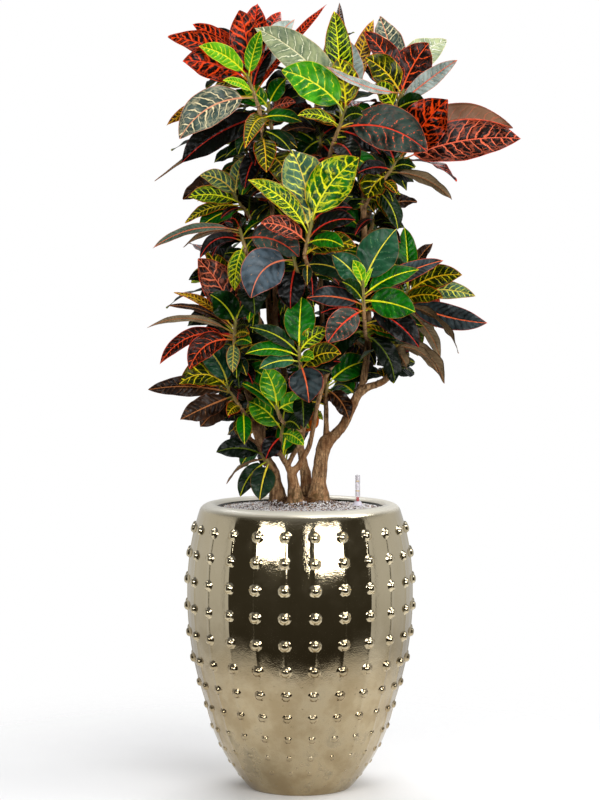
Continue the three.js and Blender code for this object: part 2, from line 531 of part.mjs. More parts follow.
function makePot() {
  const heights = studHeights();
  const seams = heights.slice(1).map((z, i) => (z + heights[i]) / 2);
  const cellTop = heights[0] + (heights[0] - seams[0]);
  const cellBottom = heights.at(-1) - (seams.at(-1) - heights.at(-1));
  const outline = [[SHOULDER_RADIUS - 3, POT_HEIGHT - 5], [RIM_RADIUS + 7, POT_HEIGHT],
    [MOUTH_RADIUS + 3, POT_HEIGHT - 4], ...INSIDE.slice().reverse()];
  const points = [];
  const triangles = [];
  const rings = [];
  const halfColumn = Math.PI / STUD_COLUMNS;
  const at = (radius, z, turn) => vec(radius * Math.sin(turn), -radius * Math.cos(turn), z);
  const addRing = (radius, z) => {
    rings.push(points.length);
    for (let c = 0; c < STUD_COLUMNS; c += 1) points.push(at(radius, z, 2 * halfColumn * c));
  };
  const edges = [cellBottom, ...seams.slice().reverse(), cellTop];
  addRing(FOOT_RADIUS, 0);
  for (const z of edges) addRing(wallRadius(z), z);
  for (const [radius, z] of outline) addRing(radius, z);
  const rows = heights.slice().reverse();
  for (let r = 0; r < rings.length - 1; r += 1) {
    for (let c = 0; c < STUD_COLUMNS; c += 1) {
      const next = (c + 1) % STUD_COLUMNS;
      const cell = [rings[r] + c, rings[r] + next, rings[r + 1] + next, rings[r + 1] + c];
      if (r === 0 || r > rows.length) {
        triangles.push([cell[0], cell[1], cell[2]], [cell[0], cell[2], cell[3]]);
      } else if (r <= STUD_ROWS - FULL_STUD_ROWS) {
        addPoint(cell, rows[r - 1], halfColumn * (2 * c + 1));
      } else {
        addStud(cell, rows[r - 1], halfColumn * (2 * c + 1));
      }
    }
  }
  const middleBelow = points.push(vec(0, 0, 0)) - 1;
  const middleAbove = points.push(vec(0, 0, FLOOR_THICKNESS)) - 1;
  for (let c = 0; c < STUD_COLUMNS; c += 1) {
    const next = (c + 1) % STUD_COLUMNS;
    triangles.push([middleBelow, rings[0] + next, rings[0] + c]);
    triangles.push([middleAbove, rings.at(-1) + c, rings.at(-1) + next]);
  }
  return solidFrom(points, triangles);

  // one raised stud in a four-cornered cell of the wall
  function addStud(cell, z, turn) {
    const wall = wallRadius(z);
    const radius = (STUD_SIZE * 2 * Math.PI * wall) / STUD_COLUMNS;
    const slope = wallRadius(z + 1) - wallRadius(z - 1);
    const tilt = Math.atan2(slope, 2);
    const first = points.length;
    for (let k = 0; k < STUD_SIDES; k += 1) {
      const angle = (2 * Math.PI * (k + 0.5)) / STUD_SIDES;
      const rise = radius * Math.sin(angle);
      const around = (radius * Math.cos(angle)) / wall;
      points.push(at(wall + rise * Math.sin(tilt), z + rise * Math.cos(tilt), turn + around));
    }
    const relief = radius * STUD_RELIEF;
    const top = points.push(at(wall + relief * Math.cos(tilt), z - relief * Math.sin(tilt), turn)) - 1;
    for (let k = 0; k < STUD_SIDES; k += 1) {
      triangles.push([top, first + k, first + ((k + 1) % STUD_SIDES)]);
    }
    // the stud's corners stand opposite the cell's, upper right first
    const corners = [cell[2], cell[3], cell[0], cell[1]];
    for (let k = 0; k < STUD_SIDES; k += 1) {
      const next = (k + 1) % STUD_SIDES;
      triangles.push([corners[k], first + next, first + k], [corners[k], corners[next], first + next]);
    }
  }

  // a cell of the wall drawn out to one low point
  function addPoint(cell, z, turn) {
    const wall = wallRadius(z);
    const relief = (STUD_SIZE * STUD_RELIEF * 2 * Math.PI * wall) / STUD_COLUMNS;
    const top = points.push(at(wall + relief, z, turn)) - 1;
    for (let k = 0; k < cell.length; k += 1) triangles.push([top, cell[k], cell[(k + 1) % cell.length]]);
  }
}

// how far the filling reaches at a height: just inside the flats of the pot's inner wall
function fillingRadius(z) {
  const level = Math.min(z, INSIDE.at(-1)[1]);
  const upper = INSIDE.findIndex(([, height]) => height >= level);
  const [highRadius, high] = INSIDE[upper];
  const [lowRadius, low] = INSIDE[upper - 1];
  const radius = lowRadius + ((highRadius - lowRadius) * (level - low)) / (high - low);
  return radius * Math.cos(Math.PI / STUD_COLUMNS) - 2 * SEAT;
}

// what fills the pot under the gravel
function makeFilling() {
  const low = FLOOR_THICKNESS + SEAT;
  const high = GRAVEL_TOP - GRAVEL_DEPTH - SEAT;
  const heights = [low, ...INSIDE.slice(1, -2).map(([, z]) => z), high];
  return turned([[0, low], ...heights.map((z) => [fillingRadius(z), z]), [0, high]], FILLING_SIDES);
}

function makeGravel() {
  const rings = [0.3, 0.62, 0.86, 1];
  const points = [vec(0, 0, GRAVEL_TOP + 3), vec(0, 0, GRAVEL_TOP - GRAVEL_DEPTH)];
  const triangles = [];
  rings.forEach((share, r) => {
    for (let c = 0; c < GRAVEL_SIDES; c += 1) {
      const turn = (2 * Math.PI * c) / GRAVEL_SIDES;
      const lumps = Math.sin(5.1 * c + 2.3 * r) + Math.sin(3.7 * c * r + 1.1);
      const heap = 3 * (1 - share * share);
      const radius = share * fillingRadius(GRAVEL_TOP);
      points.push(vec(radius * Math.sin(turn), -radius * Math.cos(turn),
        GRAVEL_TOP + heap + (share < 1 ? GRAVEL_ROUGHNESS * lumps * 0.5 : 0)));
    }
  });
  const below = points.length;
  for (let c = 0; c < GRAVEL_SIDES; c += 1) {
    const turn = (2 * Math.PI * c) / GRAVEL_SIDES;
    const radius = fillingRadius(500);
    points.push(vec(radius * Math.sin(turn), -radius * Math.cos(turn), GRAVEL_TOP - GRAVEL_DEPTH));
  }
  const rim = below - GRAVEL_SIDES;
  for (let c = 0; c < GRAVEL_SIDES; c += 1) {
    const next = (c + 1) % GRAVEL_SIDES;
    triangles.push([0, 2 + c, 2 + next], [1, below + next, below + c]);
    for (let r = 0; r < rings.length - 1; r += 1) {
      const a = 2 + r * GRAVEL_SIDES;
      const b = a + GRAVEL_SIDES;
      triangles.push([a + c, b + c, b + next], [a + c, b + next, a + next]);
    }
    triangles.push([rim + c, below + c, below + next], [rim + c, below + next, rim + next]);
  }
  return solidFrom(points, triangles);
}

// the felted block of roots and coir that the stems grow in, grown by `extra` where it is cut from the filling
function makeRootBall(extra = 0) {
  const sides = 9;
  const levels = [[0.6, ROOT_BALL.low], [0.92, 505], [1, 536], [0.9, 542.5], [0.62, ROOT_BALL.high]];
  const points = [];
  const triangles = [];
  levels.forEach(([share, z], level) => {
    for (let k = 0; k < sides; k += 1) {
      const turn = (2 * Math.PI * k) / sides;
      const lump = 1 + 0.05 * Math.sin(3 * k + 2 * level) + 0.03 * Math.sin(7 * k);
      points.push(vec(ROOT_BALL.x + (ROOT_BALL.wide * share * lump + extra) * Math.cos(turn),
        ROOT_BALL.y + (ROOT_BALL.deep * share * lump + extra) * Math.sin(turn),
        z + (level === 0 ? -extra : 0) + (level === levels.length - 1 ? extra : 0)));
    }
  });
  const bottom = points.push(vec(ROOT_BALL.x, ROOT_BALL.y, ROOT_BALL.low - extra)) - 1;
  const top = points.push(vec(ROOT_BALL.x, ROOT_BALL.y, ROOT_BALL.high + 1 + extra)) - 1;
  for (let level = 0; level < levels.length - 1; level += 1) {
    for (let k = 0; k < sides; k += 1) {
      const a = level * sides + k;
      const b = level * sides + ((k + 1) % sides);
      triangles.push([a, b, b + sides], [a, b + sides, a + sides]);
    }
  }
  const last = (levels.length - 1) * sides;
  for (let k = 0; k < sides; k += 1) {
    const next = (k + 1) % sides;
    triangles.push([bottom, next, k], [top, last + k, last + next]);
  }
  return solidFrom(points, triangles);
}

// ---------------------------------------------------------------- water gauge
const gaugeTube = (extra = 0) => {
  const { radius, bore, low, high, x, y } = GAUGE;
  const outer = [[0, low - extra], [radius + extra, low - extra], [radius + extra, high + extra], [0, high + extra]];
  if (extra) return turned(outer, 12, x, y);
  return turned([[bore, low], [radius, low], [radius, high], [0, high], [0, high - 3], [bore, high - 3], [bore, low]],
    12, x, y);
};

const gaugeFoot = (extra = 0) => {
  const { radius, neck, low, flange, high } = GAUGE_FOOT;
  const inner = extra ? 0 : GAUGE.radius + SEAT;
  const outer = [[inner, low - extra], [radius + extra, low - extra], [radius + extra, flange + extra],
    [neck + extra, high + extra], [inner, high + extra]];
  return turned(extra ? outer : [...outer, outer[0]], 12, GAUGE.x, GAUGE.y);
};

function makeFloat() {
  const { radius, rod, body, red, low, redHeight } = FLOAT;
  return turned([[0, low], [radius, low], [radius, low + body], [rod, low + body + 2], [rod, redHeight - 1],
    [radius, redHeight], [radius, redHeight + red], [0, redHeight + red]], 10, GAUGE.x, GAUGE.y);
}

// ---------------------------------------------------------------- leaves
// half the blade's width at a share u of its length
const bladeShape = (u) => Math.sin(Math.PI * u ** 0.92) ** (0.58 + 0.28 * u ** 3);

// the places across a leaf at a share t of its length: left edge, upper midrib, right edge, lower midrib
function leafSection(leaf, t, fat = 0) {
  const span = leaf.tip.clone().sub(leaf.root);
  const length = span.length();
  const along = span.divideScalar(length);
  const rising = squareTo(UP, along);
  const facing = squareTo(FRONT, along);
  const normal = rising.clone().multiplyScalar(1 - Math.abs(leaf.facing)).addScaledVector(facing, leaf.facing)
    .normalize();
  const middle = leaf.root.clone().addScaledVector(along, length * t)
    .addScaledVector(rising, leaf.arch * length * 4 * t * (1 - t));
  const tangent = along.clone().addScaledVector(rising, leaf.arch * 4 * (1 - 2 * t)).normalize();
  const upward = squareTo(normal, tangent);
  const side = tangent.clone().cross(upward);
  const u = Math.max(0, (t - STALK_SHARE) / (1 - STALK_SHARE));
  const half = STALK_HALF * (1 - u) + (leaf.width / 2) * (t > STALK_SHARE ? bladeShape(u) : 0) + fat;
  const thick = (t <= STALK_SHARE ? STALK_THICKNESS : BLADE_THICKNESS) / 2 + fat;
  const wave = (phase) => WAVE * leaf.width * Math.sin(2 * Math.PI * WAVE_COUNT * u + phase) * Math.min(1, 4 * u);
  const edge = (sign, phase) => middle.clone().addScaledVector(side, sign * half)
    .addScaledVector(upward, (t > STALK_SHARE ? KEEL * half : 0) + wave(phase));
  return [edge(-1, leaf.phase), middle.clone().addScaledVector(upward, thick),
    edge(1, leaf.phase + 2), middle.clone().addScaledVector(upward, -thick)];
}

function leafSolid(leaf, from = 0, fat = 0) {
  const stations = LEAF_STATIONS.find(([least]) => leaf.width >= least)[1].filter((t) => t >= from);
  if (from > 0) stations.unshift(from);
  const points = stations.flatMap((t) => leafSection(leaf, t, fat));
  const tip = points.push(leaf.tip.clone().addScaledVector(leaf.tip.clone().sub(leaf.root).normalize(), fat)) - 1;
  const triangles = [[0, 1, 2], [0, 2, 3]];
  for (let i = 0; i < stations.length - 1; i += 1) {
    const [l, u, r, b] = [0, 1, 2, 3].map((k) => 4 * i + k);
    triangles.push([l, u + 4, u], [l, l + 4, u + 4], [u, u + 4, r], [r, u + 4, r + 4]);
    triangles.push([r, b + 4, b], [r, r + 4, b + 4], [b, b + 4, l], [l, b + 4, l + 4]);
  }
  const last = tip - 4;
  for (let k = 0; k < 4; k += 1) triangles.push([last + k, tip, last + ((k + 1) % 4)]);
  return solidFrom(points, triangles);
}

// every leaf of a shoot, before any is bent
function leavesOf(shoot) {
  const foot = seen(...shoot.foot, shoot.deep);
  const crown = seen(...shoot.crown, shoot.deep);
  const total = shoot.leaves.length + shoot.around;
  const rootOf = (i) => crown.clone().lerp(foot, 0.06 + (0.8 * i) / total);
  const leaves = shoot.leaves.map(([x, z, depth, width, facing, arch, kind], i) => ({ root: rootOf(i),
    seenTip: [x, z, shoot.deep + depth], width, facing, arch, kind, phase: GOLDEN_ANGLE * i }));
  for (let k = 0; k < shoot.around; k += 1) {
    const i = shoot.leaves.length + k;
    // leaves by rule go right round a bare shoot, and round the back of one whose front leaves are given
    const turn = shoot.leaves.length ? ((k + 0.5) / shoot.around) * Math.PI : GOLDEN_ANGLE * k;
    const steep = shoot.leaves.length ? 0.35 - 0.3 * (k % 2) : 0.95 - (1.5 * k) / shoot.around;
    const reach = shoot.reach * (1 - 0.12 * Math.cos(2.1 * k));
    const root = rootOf(shoot.leaves.length ? 0.4 * i : i);
    const tip = root.clone().add(vec(Math.cos(turn) * Math.cos(steep), Math.sin(turn) * Math.cos(steep),
      Math.sin(steep)).multiplyScalar(reach));
    leaves.push({ root, ruleTip: tip, width: reach * (0.34 + 0.06 * Math.sin(3 * k)), facing: 0, arch: 0.14,
      kind: RULE_KINDS[(i + shoot.crown[1]) % RULE_KINDS.length], phase: GOLDEN_ANGLE * i });
  }
  return leaves;
}

const bentTip = (leaf, bend) => (leaf.ruleTip
  ? leaf.ruleTip.clone().add(vec(0, bend * 0.6, -Math.abs(bend) * 0.5))
  : seen(leaf.seenTip[0], leaf.seenTip[1], leaf.seenTip[2] + bend));

// ---------------------------------------------------------------- put together
const plant = new THREE.Group();
const placed = [];                  // [node name, solid, box] of everything a leaf has to clear

function boxOf(solid) {
  const { min, max } = solid.boundingBox();
  return new THREE.Box3(vec(...min), vec(...max));
}

function note(node, solid) {
  placed.push({ node, solid, box: boxOf(solid) });
}

function meets(solid, others) {
  const box = boxOf(solid);
  return others.some((other) => other.box.intersectsBox(box) && !solid.intersect(other.solid).isEmpty());
}

const lineSolid = (line, shootName) => {
  const points = line.map(([x, z, depth]) => seen(x, z, depth));
  const radii = line.map((row) => row[3]);
  const sides = radii[0] >= THICK_STEM ? THICK_STEM_SIDES : STEM_SIDES;
  if (!shootName) return bar(points, radii, sides);
  const shoot = SHOOTS[shootName];
  const foot = seen(...shoot.foot, shoot.deep);
  const axis = seen(...shoot.crown, shoot.deep).sub(foot).normalize();
  return bar([...points, foot], [...radii, TWIG_RADIUS], sides, axis);
};

const stemSolids = {};
for (const [name, lines] of Object.entries(STEMS)) {
  stemSolids[name] = joined(lines.map(({ line, shoot }) => lineSolid(line, shoot)));
}

const pot = makePot();
const stemHoles = joined(Object.values(STEMS).map((lines) => {
  const rooted = lines[0].line.slice(0, 3);
  const sides = THICK_STEM_SIDES;
  return bar(rooted.map(([x, z, depth]) => seen(x, z, depth)), rooted.map((row) => row[3] + HOLE_PLAY), sides);
}));
const rootBall = makeRootBall().subtract(stemHoles);
const filling = makeFilling().subtract(makeRootBall(SEAT)).subtract(gaugeTube(SEAT));
const gravel = makeGravel().subtract(makeRootBall(SEAT)).subtract(stemHoles)
  .subtract(gaugeTube(SEAT)).subtract(gaugeFoot(SEAT));

plant.add(meshOf(pot, 'pot', GLAZE));
plant.add(meshOf(filling, 'substrate', SOIL));
plant.add(meshOf(rootBall, 'root_ball', COIR));
plant.add(meshOf(gravel, 'gravel', GRAVEL));
plant.add(meshOf(gaugeTube(), 'gauge_tube', CLEAR_PLASTIC));
plant.add(meshOf(gaugeFoot(), 'gauge_foot', CLEAR_PLASTIC));
plant.add(meshOf(makeFloat(), 'gauge_float', FLOAT_RED));
for (const [name, solid] of Object.entries(stemSolids)) plant.add(meshOf(solid, name, BARK));

note('pot', pot);
note('gravel', gravel);
note('root_ball', rootBall);
note('gauge', gaugeTube(SEAT));
for (const [name, solid] of Object.entries(stemSolids)) note(name, solid);

const twigs = {};
for (const [name, shoot] of Object.entries(SHOOTS)) {
  const foot = seen(...shoot.foot, shoot.deep);
  const crown = seen(...shoot.crown, shoot.deep);
  const axis = crown.clone().sub(foot).normalize();
  const start = foot.clone().addScaledVector(axis, SEAT);
  const end = crown.clone().addScaledVector(axis, 5);
  twigs[name] = bar([start, crown, end], [TWIG_RADIUS - 0.2, 3.2, BUD_RADIUS], TWIG_SIDES);
  note(name, twigs[name]);
}

for (const [name, shoot] of Object.entries(SHOOTS)) {
  const others = placed.filter(({ node }) => node !== name);
  const blades = [];
  const parts = [twigs[name]];
  const colours = {};
  for (const leaf of leavesOf(shoot)) {
    const tries = BENDS.map((bend) => ({ ...leaf, tip: bentTip(leaf, bend) }));
    const clear = tries.filter((tried) => !meets(leafSolid(tried, 0, CLEARANCE), others));
    const chosen = clear.find((tried) => !meets(leafSolid(tried, OUTER_PART, CLEARANCE), blades)) ?? clear[0];
    if (!chosen) continue;
    const solid = leafSolid(chosen);
    parts.push(solid);
    note(name, solid);
    const blade = leafSolid(chosen, OUTER_PART);
    blades.push({ solid: blade, box: boxOf(blade) });
    colours[leaf.kind] = (colours[leaf.kind] ?? 0) + leaf.width;
  }
  const mainKind = Object.entries(colours).sort((a, b) => b[1] - a[1])[0][0];
  plant.add(meshOf(joined(parts), name, finish(LEAF_COLOURS[mainKind], 0.45)));
}

export default plant;
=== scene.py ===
"""A croton grown from several rooted stems in a studded, glazed round planter.

The tables are in millimetres, as seen from the front, and every mesh is in metres.
+Z is up and the front of the plant faces -Y.
"""
import json
import math
from dataclasses import dataclass

import bmesh
import bpy
import numpy as np
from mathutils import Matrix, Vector, noise
from mathutils.bvhtree import BVHTree
from mathutils.kdtree import KDTree

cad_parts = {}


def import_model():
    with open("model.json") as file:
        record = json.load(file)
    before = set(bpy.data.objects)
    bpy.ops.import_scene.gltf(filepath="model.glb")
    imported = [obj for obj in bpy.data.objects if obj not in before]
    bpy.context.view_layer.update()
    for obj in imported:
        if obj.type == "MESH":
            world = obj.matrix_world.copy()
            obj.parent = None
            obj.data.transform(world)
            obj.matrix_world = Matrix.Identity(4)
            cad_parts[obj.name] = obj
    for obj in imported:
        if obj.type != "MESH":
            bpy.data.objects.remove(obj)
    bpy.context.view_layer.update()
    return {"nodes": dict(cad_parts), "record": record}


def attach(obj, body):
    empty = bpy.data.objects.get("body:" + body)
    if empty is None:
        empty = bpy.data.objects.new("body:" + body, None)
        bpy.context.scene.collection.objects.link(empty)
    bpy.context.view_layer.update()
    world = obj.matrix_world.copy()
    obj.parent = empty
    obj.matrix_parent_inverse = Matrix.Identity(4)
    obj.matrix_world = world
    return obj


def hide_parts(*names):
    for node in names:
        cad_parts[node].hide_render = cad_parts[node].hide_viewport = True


MM = 0.001
UP = Vector((0, 0, 1))
FRONT = Vector((0, -1, 0))

# ---------------------------------------------------------------- planter, gravel and gauge
FOOT_RADIUS = 98
BELLY_RADIUS = 214.5
BELLY_HEIGHT = 373
SHOULDER_RADIUS = 192
SHOULDER_HEIGHT = 527
WALL_STEPS = 88                     # faces up the wall
RIM = ((189.6, 532.5), (185.8, 536.8), (180.5, 540), (174, 541.7), (167, 541.6), (161.5, 539.6),
       (158.2, 535.4), (157, 529.5))        # the rolled rim, from the wall's top round to the dark inside
INSIDE = ((159.5, 500), (188, 440), (187, 270), (155, 130), (74, 26))       # and on down to the floor
LOW_SWELL = 8.5                     # the wall's fuller curve above the foot, which the solid leaves out
LOW_SWELL_TOP = 170
STUD_COLUMNS = 24
STUD_ROWS = 12
FIRST_STUD_HEIGHT = 496
ROW_PITCH = 0.9                     # the way from row to row, as a share of that from column to column
STUD_RADIUS = 8.2
STUD_RELIEF = 7.6                   # how far a stud stands out
STUD_SIDES = 10
# A stud of radius and height 1, from its skirt to its top: radius, height.
STUD_PROFILE = ((1.6, -0.1), (1.42, 0.08), (1.04, 0.3), (0.97, 0.56), (0.74, 0.84), (0.4, 0.97))
FADED_STUD = 0.42                   # size of the lowest studs against the highest
FULL_STUD_ROWS = 6                  # rows of full size, from the top
RIDGE_RELIEF = 1.4                  # the upright ridge that each column of studs stands on
RIDGE_WIDTH = 3.4
# Where the wall's mesh is cut between two ridges, as shares of their pitch: closer near a ridge.
RIDGE_CUTS = (-0.5, -0.33, -0.2, -0.11, -0.055, -0.02, 0.02, 0.055, 0.11, 0.2, 0.33)

GRAVEL_TOP = 531
GRAVEL_DEPTH = 30
GRAVEL_RADIUS = 155.2
GRAVEL_HEAP = 3                     # how much the gravel rises towards the middle
GRAIN_RADIUS = 2.2
GRAIN_SPACING = 2.9                 # the least way between the middles of two grains
ROOT_BALL = {"x": 4, "y": 34, "wide": 68, "deep": 50, "high": 546}
ROOT_SLOPE = 15                     # how far the root ball's top falls away at its edge
ROOT_GROUND = 500                   # where its felt ends, below the gravel
GRAVEL_OVERLAP = 10                 # how far the grains lie over the root ball's edge
FIBRES = 420                        # loose root fibres on the root ball
FIBRE_JOINTS = 6
FIBRE_STEP = 2.6
GAUGE = {"x": 111, "y": 42, "radius": 4.7, "bore": 3.2, "low": 100, "high": 591.6}
GAUGE_FOOT = {"radius": 10.5, "neck": 6.2, "low": 526, "flange": 533.5, "high": 541}
FLOAT = {"radius": 2.85, "rod": 1.2, "body": 34, "red": 8, "low": 103, "red_height": 541}
GAUGE_MARKS = (561, 580)
MARK_HALF = 0.8
MARK_TURN = 0.7                     # how far round the tube a mark reaches, in radians

# The picture's eye: a spot seen at (x, z) on the plane through the pot's axis lies further out
# along the line of sight when it is behind that plane.
EYE_DISTANCE = 4200
EYE_HEIGHT = 930
EYE_PITCH = 2.62                    # degrees below level
LENS = 99.47                        # on a 36 mm picture height

# ---------------------------------------------------------------- leaves
STALK_HALF = 1.5
STALK_SHARE = 0.14                  # of the whole leaf's length
KEEL = 0.17                         # how far a margin rises above the midrib, against the half width
WAVE = 0.055                        # how far it waves, against the width
WAVE_COUNT = 2.3                    # waves from stalk to tip
VEIN_SPACING = 0.19                 # this share of the leaf's width, and
LEAST_SPACING = 3.8                 # this much more
# The steps, in depth, by which the solids bend a leaf that would cross another node.
BENDS = (0, 12, -12, 24, -24, 38, -38, 54, -54, 72, -72, 92, -92, 115, -115)
GOLDEN_ANGLE = 2.39996              # the turn from each leaf to the next, in radians
GOLDEN_SHARE = 0.618                # steps of this share spread fixed chance values evenly
RULE_KINDS = ("deep", "night", "olive", "green", "green", "cinder", "deep", "teal")

